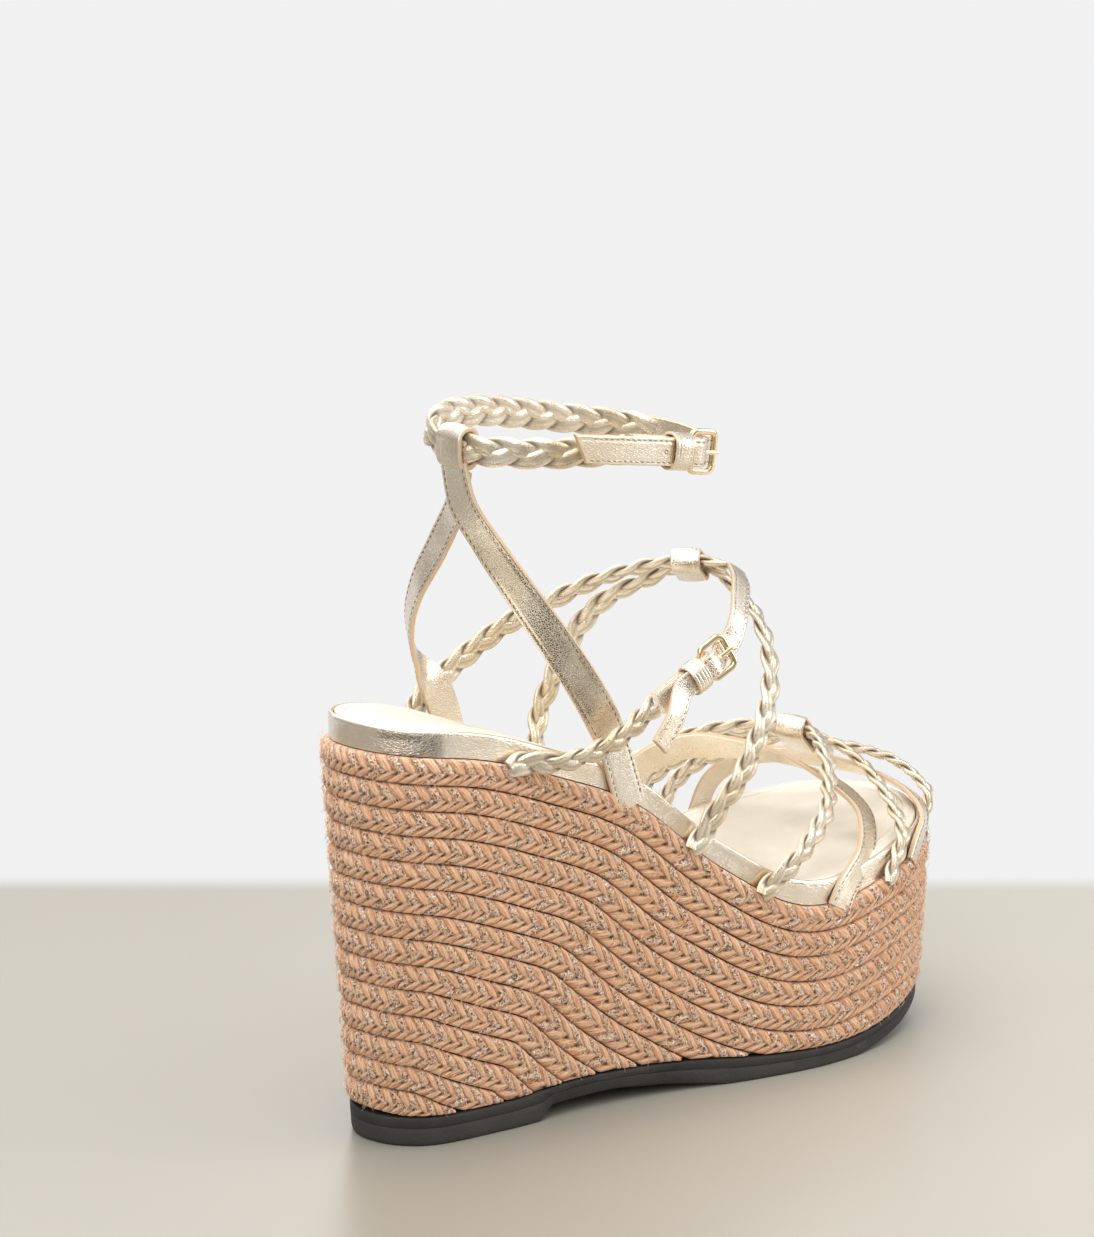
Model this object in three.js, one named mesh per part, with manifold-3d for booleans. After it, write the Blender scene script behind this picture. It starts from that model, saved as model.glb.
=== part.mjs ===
// Wedge sandal, right foot: a jute-wrapped wedge on a rubber outsole, with a strappy upper of plaited
// and flat leather that closes with two prong buckles. Millimetres, +Z up, +X to the toe, +Y to the
// inner side of the foot. The group's origin is on the ground, under the middle of the sandal.
import * as THREE from 'three';
import { mergeVertices } from 'three/addons/utils/BufferGeometryUtils.js';
import Module from 'manifold-3d';

const wasm = await Module();
wasm.setup();

// ---------------------------------------------------------------- driving dimensions
const GAP = 0.35; // air kept between pieces that touch
const MIDDLE = [-115.8, -2.4, 0]; // from the back of the heel on the centre line to the sandal's middle
const DRAFT = 0.06; // how far the wedge wall leans in for each millimetre down
const TAPE = { pitch: 7.9, thickness: 3, rows: 14 }; // jute tape wound round the wedge
const RAND = { height: 8, inset: 2.5, thickness: 1.4 }; // leather strip round the footbed's edge
const BOARD = 2.4; // insole board
const PAD = 3.6; // foam under the sock
const SOCK = 1.2; // leather sock on top
const SHANK = { from: 30, to: 142, width: 12, thickness: 1.5 };
const RIM_STEPS = 48; // stations round the wedge, an even number

const LEG = { width: 10.8, thickness: 1.6 };
const ANKLE_PLAIT = { width: 8.6, thickness: 3.4 };
const INSTEP_PLAIT = { width: 7.2, thickness: 3 };
const VAMP_PLAIT = { width: 7, thickness: 3 };
const TOE_PLAIT = { width: 5.6, thickness: 2.8 };
const VAMP_STRAP = { width: 9.5, thickness: 1.6 };
const TIP = { ankle: 8.6, instep: 7.2, thickness: 1.4 };

const LOOK = {
  leather: new THREE.MeshStandardMaterial({ color: 0xe3d7b8, roughness: 0.38, metalness: 0.75 }),
  plait: new THREE.MeshStandardMaterial({ color: 0xe8dab2, roughness: 0.34, metalness: 0.75 }),
  jute: new THREE.MeshStandardMaterial({ color: 0xd09a76, roughness: 0.95, metalness: 0 }),
  rubber: new THREE.MeshStandardMaterial({ color: 0x3c3a38, roughness: 0.7, metalness: 0 }),
  cork: new THREE.MeshStandardMaterial({ color: 0xb08a5e, roughness: 0.9, metalness: 0 }),
  board: new THREE.MeshStandardMaterial({ color: 0x9a7a55, roughness: 0.9, metalness: 0 }),
  foam: new THREE.MeshStandardMaterial({ color: 0xefe6d2, roughness: 0.9, metalness: 0 }),
  steel: new THREE.MeshStandardMaterial({ color: 0x9a9a9a, roughness: 0.35, metalness: 1 }),
  gold: new THREE.MeshStandardMaterial({ color: 0xe0c690, roughness: 0.18, metalness: 1 }),
};

// ---------------------------------------------------------------- sole outline and heights
// Plan outline of the jute's top edge, from the back of the heel round the outer side to the toe and
// back along the inner side.
const OUTLINE = new THREE.CatmullRomCurve3([
  [0, 0], [3.5, -14], [15, -24.8], [44.6, -29.2], [74.8, -29.4], [104.8, -33.2], [134.2, -39.8],
  [164.2, -43.1], [193.8, -38], [219.5, -22.7], [231.6, 4.3], [220.7, 31.5], [193.4, 43.4],
  [163.4, 45.6], [133.8, 39.6], [104.7, 31.5], [74.8, 28], [44.6, 28.8], [15, 24.1], [3.5, 13],
].map(([x, y]) => new THREE.Vector3(x, y, 0)), true, 'centripetal');

// Heights of three lines along the sandal, as [x, z] points.
const RIM_HEIGHTS = [
  [0, 121], [30, 117], [60, 107], [90, 93.5], [120, 69], [150, 53], [190, 56], [232, 60.7],
];
const SOLE_TOP_HEIGHTS = [
  [0, 9], [45, 9], [60, 10], [80, 10.5], [110, 9.5], [140, 7], [170, 6.5], [200, 10], [232, 17],
];
const SOLE_FLOOR_HEIGHTS = [
  [0, 0], [58, 0], [62, 4.4], [85, 4.8], [104, 3], [124, 0], [176, 0], [200, 3.5], [232, 11.5],
];

// A curve through (x, z) points: a cubic between each pair, with each point's slope taken from its
// neighbours, or straight lines.
function heightCurve(points, smooth = true) {
  const slope = (i) => {
    const [a, b] = [points[Math.max(i - 1, 0)], points[Math.min(i + 1, points.length - 1)]];
    return (b[1] - a[1]) / (b[0] - a[0]);
  };
  return (x) => {
    const last = points.length - 2;
    const found = points.findIndex((p, i) => i <= last && x <= points[i + 1][0]);
    const i = found < 0 ? last : found;
    const [[x0, z0], [x1, z1]] = [points[i], points[i + 1]];
    const span = x1 - x0;
    const t = THREE.MathUtils.clamp((x - x0) / span, 0, 1);
    if (!smooth) return z0 + (z1 - z0) * t;
    const rise = 3 * t * t - 2 * t * t * t;
    const swing = slope(i) * t * (1 - t) * (1 - t) - slope(i + 1) * t * t * (1 - t);
    return z0 + (z1 - z0) * rise + span * swing;
  };
}

const rimHeight = heightCurve(RIM_HEIGHTS);
const soleTop = heightCurve(SOLE_TOP_HEIGHTS);
const soleFloor = heightCurve(SOLE_FLOOR_HEIGHTS, false);

// Stations round the rim: plan position, inward normal, top height and distance along the rim.
const RIM_LENGTH = OUTLINE.getLength();
const RIM = Array.from({ length: RIM_STEPS }, (_, i) => rimStation(i / RIM_STEPS));

function rimStation(u) {
  const point = OUTLINE.getPointAt(u);
  const along = OUTLINE.getTangentAt(u);
  return {
    point,
    inward: new THREE.Vector3(-along.y, along.x, 0).normalize(),
    top: rimHeight(point.x),
    s: u * RIM_LENGTH,
  };
}

const RIM_FINE = Array.from({ length: 600 }, (_, i) => rimStation(i / 600));

// A point on the wedge wall at a station, a height z and an inset from the jute's outer face.
function wallPoint(station, z, inset) {
  const lean = DRAFT * Math.max(station.top - z, 0);
  const p = station.point.clone().addScaledVector(station.inward, inset + lean);
  p.z = z;
  return p;
}

// ---------------------------------------------------------------- solids
function meshOf(name, geometry, look) {
  const mesh = new THREE.Mesh(geometry, look);
  mesh.name = name;
  return mesh;
}

// A geometry from points and triangles, turned right side out if its volume comes out negative.
function closedSolid(points, index) {
  let volume = 0;
  for (let i = 0; i < index.length; i += 3) {
    const [a, b, c] = [points[index[i]], points[index[i + 1]], points[index[i + 2]]];
    volume += a.dot(new THREE.Vector3().crossVectors(b, c));
  }
  const geometry = new THREE.BufferGeometry();
  const flat = points.flatMap((p) => [p.x, p.y, p.z]);
  geometry.setAttribute('position', new THREE.Float32BufferAttribute(flat, 3));
  geometry.setIndex(volume > 0 ? index : index.toReversed());
  return geometry;
}

// A closed solid through rings of points of equal count, joined in order.
function loft(rings, closed = false) {
  const count = rings[0].length;
  const index = [];
  const bands = closed ? rings.length : rings.length - 1;
  for (let r = 0; r < bands; r += 1) {
    const next = (r + 1) % rings.length;
    for (let c = 0; c < count; c += 1) {
      const d = (c + 1) % count;
      index.push(r * count + c, next * count + c, r * count + d);
      index.push(r * count + d, next * count + c, next * count + d);
    }
  }
  if (!closed) {
    const end = (rings.length - 1) * count;
    for (let c = 1; c < count - 1; c += 1) {
      index.push(0, c, c + 1);
      index.push(end, end + c + 1, end + c);
    }
  }
  return closedSolid(rings.flat(), index);
}

// A slab that fills the rim's outline: its upper and lower faces are ruled from side to side, and
// each follows its own height at every station.
function slab(inset, upper, lower) {
  const ringAt = (height) => RIM.map((station) => wallPoint(station, height(station), inset));
  const n = RIM_STEPS;
  const index = [];
  for (let i = 0; i < n; i += 1) {
    const j = (i + 1) % n;
    index.push(i, n + i, j);
    index.push(j, n + i, n + j);
  }
  for (let i = 0; i < n / 2; i += 1) {
    const [a, b, c, d] = [i, i + 1, (n - i) % n, n - i - 1];
    if (i > 0) {
      index.push(a, b, c);
      index.push(n + a, n + c, n + b);
    }
    if (d !== b) {
      index.push(b, d, c);
      index.push(n + b, n + c, n + d);
    }
  }
  return closedSolid([...ringAt(upper), ...ringAt(lower)], index);
}

function toManifold(geometry) {
  const bare = geometry.clone();
  bare.deleteAttribute('normal');
  bare.deleteAttribute('uv');
  const merged = mergeVertices(bare, 1e-4);
  return new wasm.Manifold(new wasm.Mesh({
    numProp: 3,
    vertProperties: new Float32Array(merged.attributes.position.array),
    triVerts: new Uint32Array(merged.index.array),
  }));
}

function subtract(geometry, ...cutters) {
  let solid = toManifold(geometry);
  for (const cutter of cutters) solid = solid.subtract(toManifold(cutter));
  const mesh = solid.getMesh();
  const result = new THREE.BufferGeometry();
  result.setAttribute('position', new THREE.Float32BufferAttribute(mesh.vertProperties, 3));
  result.setIndex(new THREE.Uint32BufferAttribute(mesh.triVerts, 1));
  return result;
}

// ---------------------------------------------------------------- the sole
// The wall height of the line that lies `drop` below the rim, measured square to the rim's slope.
function wrapLine(station, drop) {
  if (drop === 0) return station.top;
  const heights = RIM.map((other) => {
    const away = Math.abs(other.s - station.s);
    const run = Math.min(away, RIM_LENGTH - away);
    return run < drop ? other.top - Math.sqrt(drop * drop - run * run) : Infinity;
  });
  return Math.min(...heights);
}

// One turn of jute tape. The upper turns close on themselves, and the lower ones run out where they
// meet the outsole on each side.
function juteRow(row) {
  const floor = (station) => soleTop(station.point.x) + GAP;
  const upper = RIM.map((station) => wrapLine(station, row ? row * TAPE.pitch + GAP : 0));
  const lower = RIM.map((station) => wrapLine(station, (row + 1) * TAPE.pitch));
  const kept = RIM.map((station, i) => upper[i] - floor(station) > 1.2);
  const section = (i) => {
    const station = RIM[i];
    const low = Math.max(lower[i], floor(station));
    return [
      wallPoint(station, upper[i], 0),
      wallPoint(station, low, 0),
      wallPoint(station, low, TAPE.thickness),
      wallPoint(station, upper[i], TAPE.thickness),
    ];
  };
  const all = [...RIM.keys()];
  if (kept.every(Boolean)) return loft(all.map(section), true);
  const reach = all.filter((i) => i <= RIM_STEPS / 2 && kept[i]).at(-1);
  const other = all.filter((i) => i > RIM_STEPS / 2 && kept[i]).at(0);
  const order = [];
  for (let i = other; i < RIM_STEPS + reach + 1; i += 1) order.push(i % RIM_STEPS);
  return loft(order.map(section));
}

function shankBar(grow) {
  const rings = [];
  for (let i = 0; i <= 14; i += 1) {
    const x = THREE.MathUtils.lerp(SHANK.from - grow, SHANK.to + grow, i / 14);
    const half = SHANK.width / 2 + grow;
    const top = rimHeight(x) + (grow ? 3 : -0.4);
    const low = rimHeight(x) - 0.4 - SHANK.thickness - grow;
    rings.push([
      new THREE.Vector3(x, half, top), new THREE.Vector3(x, -half, top),
      new THREE.Vector3(x, -half, low), new THREE.Vector3(x, half, low),
    ]);
  }
  return loft(rings);
}

function wedgeCore() {
  const inset = TAPE.thickness + GAP;
  const whole = slab(inset, (s) => s.top, (s) => soleTop(s.point.x) + GAP);
  return subtract(whole, shankBar(0.4));
}

// The leather rand: a hoop round the edge of the board, the pad and the sock.
function rand() {
  return loft(RIM.map((station) => {
    const low = station.top + GAP;
    const high = station.top + RAND.height;
    const outer = RAND.inset;
    const inner = RAND.inset + RAND.thickness;
    return [
      wallPoint(station, high, outer + 0.5), wallPoint(station, high - 1, outer),
      wallPoint(station, low, outer), wallPoint(station, low, inner), wallPoint(station, high, inner),
    ];
  }), true);
}

function footbedLayer(inset, base, thickness) {
  return slab(inset, (s) => s.top + base + thickness, (s) => s.top + base);
}

function sole() {
  const inside = RAND.inset + RAND.thickness + GAP;
  const boardTop = GAP + BOARD;
  const padTop = boardTop + GAP + PAD;
  const group = new THREE.Group();
  group.add(
    meshOf('outsole', slab(0.6, (s) => soleTop(s.point.x), (s) => soleFloor(s.point.x)), LOOK.rubber),
    meshOf('wedge_core', wedgeCore(), LOOK.cork),
    meshOf('steel_shank', shankBar(0), LOOK.steel),
    meshOf('rand', rand(), LOOK.leather),
    meshOf('insole_board', footbedLayer(inside, GAP, BOARD), LOOK.board),
    meshOf('footbed_pad', footbedLayer(inside, boardTop + GAP, PAD), LOOK.foam),
    meshOf('sock_lining', footbedLayer(inside, padTop + GAP, SOCK), LOOK.leather),
  );
  for (let row = 0; row < TAPE.rows; row += 1) {
    group.add(meshOf(`jute_row_${String(row + 1).padStart(2, '0')}`, juteRow(row), LOOK.jute));
  }
  return group;
}

// ---------------------------------------------------------------- straps
const vec = ([x, y, z]) => new THREE.Vector3(x, y, z);

// Outward directions: from an upright line inside the ankle, or from a sloping line inside the foot.
const ANKLE_AXIS = { from: vec([92, 0, 0]), along: vec([0, 0, 1]) };
const FOOT_AXIS = { from: vec([120, 0, 105]), along: vec([0.84, 0, -0.54]) };

function outward(p, axis) {
  const offset = p.clone().sub(axis.from);
  return offset.addScaledVector(axis.along, -offset.dot(axis.along)).normalize();
}

// A stop on a strap's route: where it is and which way its outer face looks.
const at = (x, y, z, face = null) => ({ p: vec([x, y, z]), face: face && vec(face).normalize() });

// A stop on the ledge outside the rand, `up` above the jute's top edge, on the outer (-1) or the
// inner (+1) side of the foot.
function seat(side, x, up, inset) {
  const found = RIM_FINE.filter(({ point }) => point.y * side > 0)
    .reduce((best, s) => (Math.abs(s.point.x - x) < Math.abs(best.point.x - x) ? s : best));
  const p = found.point.clone().addScaledVector(found.inward, inset);
  p.z = found.top + up;
  return { p, face: found.inward.clone().negate() };
}

// Leather rings that gather the plaits over the instep and over the toes: `along` follows the plaits
// towards the outer side of the foot.
const RINGS = {
  tab: {
    place: [45.6, 0, 204], along: [0, 1, 0], out: [-1, 0, 0],
    inner: [9.8, 5.2], wall: 1.6, length: 10.4,
  },
  instep: {
    place: [135.4, -3, 155.7], along: [0.6, -0.8, 0.05], out: [0.54, -0.06, 0.84],
    inner: [15.8, 4.8], wall: 1.2, length: 9,
  },
  vamp: {
    place: [191.4, 8, 91.4], along: [0.5, -0.86, -0.08], out: [0.5, 0.12, 0.86],
    inner: [20.2, 4.8], wall: 1.2, length: 9,
  },
};

// A stop inside a ring: `across` from its middle towards the heel and `forward` along it.
function within(ring, across, forward) {
  const { x, y, z } = axesOf(ring);
  return { p: vec(ring.place).addScaledVector(y, -across).addScaledVector(x, forward), face: z };
}

function axesOf({ along, out }) {
  const x = vec(along).normalize();
  const z = vec(out).addScaledVector(x, -vec(out).dot(x)).normalize();
  return { x, y: new THREE.Vector3().crossVectors(z, x), z };
}

const FLAT = [[1, 1], [-1, 1], [-1, -1], [1, -1]];
const ROUNDED = [[1, 0], [0.6, 1], [-0.6, 1], [-1, 0], [-0.6, -1], [0.6, -1]];

// A strap along a smooth route of stops. Its width lies square to the direction its face looks.
function strap(stops, { width, thickness, section = FLAT, axis = FOOT_AXIS, step = 6 }) {
  const points = stops.map(({ p }) => p);
  const faces = stops.map(({ p, face }) => face || outward(p, axis));
  const curve = new THREE.CatmullRomCurve3(points, false, 'centripetal');
  const steps = Math.max(Math.round(curve.getLength() / step), points.length);
  const rings = [];
  for (let i = 0; i <= steps; i += 1) {
    const t = curve.getUtoTmapping(i / steps);
    const along = t * (points.length - 1);
    const k = Math.min(Math.floor(along), points.length - 2);
    const tangent = curve.getTangent(t);
    const normal = faces[k].clone().lerp(faces[k + 1], along - k);
    normal.addScaledVector(tangent, -normal.dot(tangent)).normalize();
    const side = new THREE.Vector3().crossVectors(tangent, normal);
    const centre = curve.getPoint(t);
    rings.push(section.map(([a, b]) => centre.clone()
      .addScaledVector(side, -a * width / 2)
      .addScaledVector(normal, b * thickness / 2)));
  }
  return loft(rings);
}

// Strap ends are trimmed along the jute's top edge and along the rand.
function trimmer(from, to, up, down) {
  return loft(RIM.map((station) => [
    wallPoint(station, station.top + up, from), wallPoint(station, station.top - down, from),
    wallPoint(station, station.top - down, to), wallPoint(station, station.top + up, to),
  ]), true);
}

const UNDER_RIM = trimmer(-8, 6, GAP, 40);
const INSIDE_RAND = trimmer(RAND.inset - GAP, 14, RAND.height + 0.8, 1);
const trimmed = (geometry) => subtract(geometry, UNDER_RIM, INSIDE_RAND);

const OUTER = -1;
const INNER = 1;
const FLAT_SEAT = RAND.inset - GAP - 0.95; // inset of a flat strap's middle on the ledge
const PLAIT_SEAT = RAND.inset - GAP - 1.6; // inset of a plait's middle on the ledge

// Strap routes. A strap that crosses the foot runs from its outer side to its inner side.
const ROUTES = {
  heel_strap_outer: [
    at(44.4, -0.5, 195.9, [-1, 0, 0]), at(44.9, -3, 187, [-1, -0.1, 0.1]), at(50.2, -6.5, 176),
    at(57.6, -14, 160.5), at(66.6, -21, 143.5), at(74.6, -26, 128), seat(OUTER, 81, 16, 2),
    seat(OUTER, 84.6, 6, FLAT_SEAT), seat(OUTER, 86.6, -3, FLAT_SEAT),
  ],
  heel_strap_inner: [
    at(47.4, 0.5, 194.6, [-1, 0, 0]), at(49.2, 5.2, 186, [-1, 0.3, 0]), at(48.6, 13, 172),
    at(47.6, 21.6, 158), at(48.4, 26, 147), at(53, 28.4, 134), seat(INNER, 60, 17, 1.2),
    seat(INNER, 64.6, 6, FLAT_SEAT), seat(INNER, 66, -3, FLAT_SEAT),
  ],
  ankle_plait: [
    at(86.6, -28, 201.9), at(73, -26.2, 202.6), at(60, -20.6, 203), at(51, -13.6, 203.6),
    within(RINGS.tab, 0, -6), within(RINGS.tab, 0, 6), at(47.6, 14.5, 205.6), at(57, 21, 208.2),
    at(77, 25.8, 206.8), at(94.4, 27.6, 203.5), at(110, 27.2, 200.2), at(124, 24.6, 197.3),
    at(133, 22, 195.4),
  ],
  instep_plait_back: [
    seat(OUTER, 40, -2, PLAIT_SEAT), seat(OUTER, 44.5, 1.6, PLAIT_SEAT - 0.6), at(54.5, -33.8, 113.6),
    at(64, -35.6, 114.6), at(76, -36.4, 117.8), at(84, -35.9, 121.4), at(91.2, -35.3, 125),
  ],
  instep_plait_top: [
    at(139.4, -14.6, 156.6), within(RINGS.instep, 3.95, 5.5), within(RINGS.instep, 3.95, -5.5),
    at(123, 7, 155), at(115, 12.6, 152.4), at(107.8, 17.8, 149), at(99.6, 23, 144.4), at(89.3, 28, 139.4),
    at(81.8, 31, 134.6), at(74.3, 33, 129.6), at(65, 34, 124), at(57, 32.4, 119.4),
    seat(INNER, 50.6, 3, PLAIT_SEAT), seat(INNER, 49, -3, PLAIT_SEAT),
  ],
  instep_plait_front: [
    seat(OUTER, 108.6, -3, PLAIT_SEAT), seat(OUTER, 111, 4, PLAIT_SEAT), at(116, -37.4, 90.2),
    at(121.6, -38.8, 96.5), at(126.2, -39.4, 103.2), at(129.8, -39.2, 109.5), at(133.6, -38.2, 115.1),
    at(137.2, -36.4, 121.6), at(140, -33.8, 128.4), at(141.8, -30, 135.4), at(143, -25.4, 141),
    at(143.4, -19.4, 146.2), at(143, -12.6, 150.4), within(RINGS.instep, -3.95, 5.5),
    within(RINGS.instep, -3.95, -5.5), at(129, 9.6, 150), at(122, 16.6, 145.4), at(118, 22, 140),
    at(115, 26.4, 132.9), at(112.6, 29.4, 125.6), at(110, 32, 117), at(107, 34, 108),
    seat(INNER, 101.6, 8, PLAIT_SEAT), seat(INNER, 99, -3, PLAIT_SEAT),
  ],
  vamp_plait: [
    seat(OUTER, 132, -3, PLAIT_SEAT), seat(OUTER, 135, 3, PLAIT_SEAT), at(140.8, -42, 67.6),
    at(151.9, -40, 74), at(163.4, -34.8, 81), at(170.4, -28, 85.6), at(177.6, -20, 90.4),
    at(185.8, -7.8, 93.3), within(RINGS.vamp, 6.2, 5.5), within(RINGS.vamp, 6.4, -5.5), at(176.6, 22, 93),
    at(166, 32, 89.4), at(154, 41, 82), at(146, 44.6, 70.5), seat(INNER, 141, 4, PLAIT_SEAT),
    seat(INNER, 140, -3, PLAIT_SEAT),
  ],
  toe_plait_middle: [
    seat(OUTER, 185, -3, PLAIT_SEAT), seat(OUTER, 188, 3, PLAIT_SEAT), at(194.4, -36.4, 66.6),
    at(197.4, -30, 72.6), at(198.6, -23, 78.6), at(198.8, -15, 84), at(197.2, -5, 89),
    within(RINGS.vamp, -0.4, 5.5), within(RINGS.vamp, -0.4, -5.5), at(184, 22.6, 90.2), at(176, 33, 86),
    at(165.6, 42.4, 78), at(158, 46.8, 68), seat(INNER, 154, 4, PLAIT_SEAT),
    seat(INNER, 153, -3, PLAIT_SEAT),
  ],
  toe_plait_front: [
    seat(OUTER, 222, -3, PLAIT_SEAT), seat(OUTER, 224, 3, PLAIT_SEAT), at(227.2, -14.8, 69.8),
    at(227.4, -9, 74.4), at(223.8, -3, 79.2), at(216.4, 0.8, 82.8), at(207, 3.4, 86),
    within(RINGS.vamp, -6.9, 5.5), within(RINGS.vamp, -6.9, -5.5), at(190.4, 24.6, 86), at(187, 34, 82),
    at(180, 43, 76.5), at(172.6, 47.4, 67.4), seat(INNER, 169, 4, PLAIT_SEAT),
    seat(INNER, 168, -3, PLAIT_SEAT),
  ],
  vamp_strap: [
    seat(OUTER, 161.5, -3, FLAT_SEAT), seat(OUTER, 165, 3, FLAT_SEAT), at(176, -37.8, 62.8),
    at(184, -31.6, 68.4), at(188.6, -24.8, 73.4), at(189, -16, 78.2), at(184.6, -6, 83.4), at(179, 3, 87),
    at(172.6, 10, 89), at(167, 16.4, 89.8), at(159.6, 23, 90), at(151.6, 29.4, 87), at(143, 35.6, 79.5),
    at(135.6, 39.2, 71.2), seat(INNER, 129.4, 5, FLAT_SEAT), seat(INNER, 127, -3, FLAT_SEAT),
  ],
  toe_strap: [
    seat(OUTER, 202, -3, FLAT_SEAT), seat(OUTER, 206, 2.4, FLAT_SEAT), seat(OUTER, 213, 6.4, FLAT_SEAT),
    at(219.4, -18.6, 69.2), at(221, -8, 72.6), at(218.6, 4, 75.2), at(211, 16, 78), at(202, 27, 79.4),
    at(194.6, 37, 77), at(188, 43.4, 70.4), seat(INNER, 183, 5, FLAT_SEAT), seat(INNER, 181, -3, FLAT_SEAT),
  ],
};

function upper() {
  const group = new THREE.Group();
  const leg = { ...LEG, axis: ANKLE_AXIS };
  const flat = (name, size) => meshOf(name, trimmed(strap(ROUTES[name], size)), LOOK.leather);
  const plaited = (name, size) => {
    const solid = strap(ROUTES[name], { ...size, section: ROUNDED });
    return meshOf(name, trimmed(solid), LOOK.plait);
  };
  group.add(
    flat('heel_strap_outer', leg),
    flat('heel_strap_inner', leg),
    flat('vamp_strap', VAMP_STRAP),
    flat('toe_strap', { ...VAMP_STRAP, width: 7.4 }),
    plaited('ankle_plait', { ...ANKLE_PLAIT, axis: ANKLE_AXIS }),
    plaited('instep_plait_back', INSTEP_PLAIT),
    plaited('instep_plait_top', INSTEP_PLAIT),
    plaited('instep_plait_front', INSTEP_PLAIT),
    plaited('vamp_plait', VAMP_PLAIT),
    plaited('toe_plait_middle', TOE_PLAIT),
    plaited('toe_plait_front', TOE_PLAIT),
  );
  return group;
}

// ---------------------------------------------------------------- leather loops
// A hoop of leather strip: a rounded rectangle with a hole, `length` long.
function hoop(innerWidth, innerHeight, wall, length) {
  const outline = (w, h, r, path) => {
    path.moveTo(-w / 2 + r, -h / 2);
    path.lineTo(w / 2 - r, -h / 2);
    path.absarc(w / 2 - r, -h / 2 + r, r, -Math.PI / 2, 0);
    path.absarc(w / 2 - r, h / 2 - r, r, 0, Math.PI / 2);
    path.absarc(-w / 2 + r, h / 2 - r, r, Math.PI / 2, Math.PI);
    path.absarc(-w / 2 + r, -h / 2 + r, r, Math.PI, Math.PI * 1.5);
    return path;
  };
  const shape = outline(innerWidth + 2 * wall, innerHeight + 2 * wall, wall + 0.6, new THREE.Shape());
  shape.holes.push(outline(innerWidth, innerHeight, 0.6, new THREE.Path()));
  const solid = new THREE.ExtrudeGeometry(shape, { depth: length, bevelEnabled: false, curveSegments: 3 });
  return solid.translate(0, 0, -length / 2);
}

// Turns a piece's own axes so that X points `along` and Z points `out`, at a place.
function placed(site, ...pieces) {
  const { x, y, z } = axesOf(site);
  const group = new THREE.Group().add(...pieces);
  group.matrixAutoUpdate = false;
  group.matrix.makeBasis(x, y, z).setPosition(...site.place);
  return group;
}

// The hoop's length runs along X after this turn, its width along Y and its height along Z.
const lieAlongX = (geometry) => geometry.rotateX(Math.PI / 2).rotateZ(Math.PI / 2);

function ringOf(name, ring) {
  const solid = lieAlongX(hoop(...ring.inner, ring.wall, ring.length));
  return placed(ring, meshOf(name, solid, LOOK.leather));
}

// ---------------------------------------------------------------- buckles
// Each buckle's own axes start on its bar: X to the frame's far side, Z away from the foot.
const WIRE = 1.8; // the frame's wire
const BAR_HOLE = WIRE / 2 + 0.35; // the fold round the bar and the prong's eye turn freely
const FOLD = 1.3; // leather round the bar
const TIP_OVER = BAR_HOLE + FOLD + 0.4 + TIP.thickness / 2; // height of the tip strap over the bar
const BUCKLES = {
  ankle: {
    place: [111.2, -29, 198], along: [0.986, -0.04, -0.16], out: [0, -1, 0],
    width: TIP.ankle, tail: 24, reach: 9, keeper: -6.4, keeperLength: 7.4,
    before: [
      at(133.8, 21.2, 195.2), at(139, 16, 193.8), at(140.6, 6, 193), at(136.4, -6, 193.4),
      at(128.6, -17, 194.6),
    ],
    front: [[12.4, -7.4, 2.2], [11.4, -4.4, 1]],
    after: [at(66.2, -30.6, 205, [-0.3, -1, 0])],
    axis: ANKLE_AXIS,
  },
  instep: {
    place: [110.6, -37, 134.2], along: [0.88, -0.08, 0.44], out: [0.05, -0.95, 0.3],
    width: TIP.instep, tail: 20, reach: 9, keeper: -5.6, keeperLength: 5.6,
    before: [
      at(141, -17.4, 156), at(138.2, -22.4, 153.6), at(132.6, -28.2, 149.6), at(127.2, -33, 144.8),
    ],
    front: [[12.4, -3.4, 0.1]],
    after: [at(93.4, -42, 122), at(86.4, -42.8, 114.6)],
    axis: FOOT_AXIS,
  },
};

// A point on a buckle's middle plane, and the way a strap there faces.
function onBuckle(buckle, x, z, slope = 0) {
  const axes = axesOf(buckle);
  return {
    p: vec(buckle.place).addScaledVector(axes.x, x).addScaledVector(axes.z, z),
    face: axes.z.clone().addScaledVector(axes.x, slope).normalize(),
  };
}

// The strap end with holes: under the frame's far side, up through the frame, over the bar and back.
function tipStrap(buckle) {
  const route = [
    ...buckle.before, ...buckle.front.map(([x, z, slope]) => onBuckle(buckle, x, z, slope)),
    onBuckle(buckle, 9, -2.8, 0.2),
    onBuckle(buckle, 6, -0.7, 1), onBuckle(buckle, 3.9, 1.9, 0.8), onBuckle(buckle, 1.2, TIP_OVER - 0.1, 0.2),
    onBuckle(buckle, -3, TIP_OVER), onBuckle(buckle, -8, TIP_OVER), onBuckle(buckle, -12, TIP_OVER),
    ...buckle.after,
  ];
  const solid = strap(route, { width: buckle.width, thickness: TIP.thickness, axis: buckle.axis, step: 2.6 });
  const slit = new THREE.BoxGeometry(10.4, 3, 8);
  slit.translate(3.2, 0, 3).applyMatrix4(placed(buckle, new THREE.Group()).matrix);
  return subtract(solid, slit);
}

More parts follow.
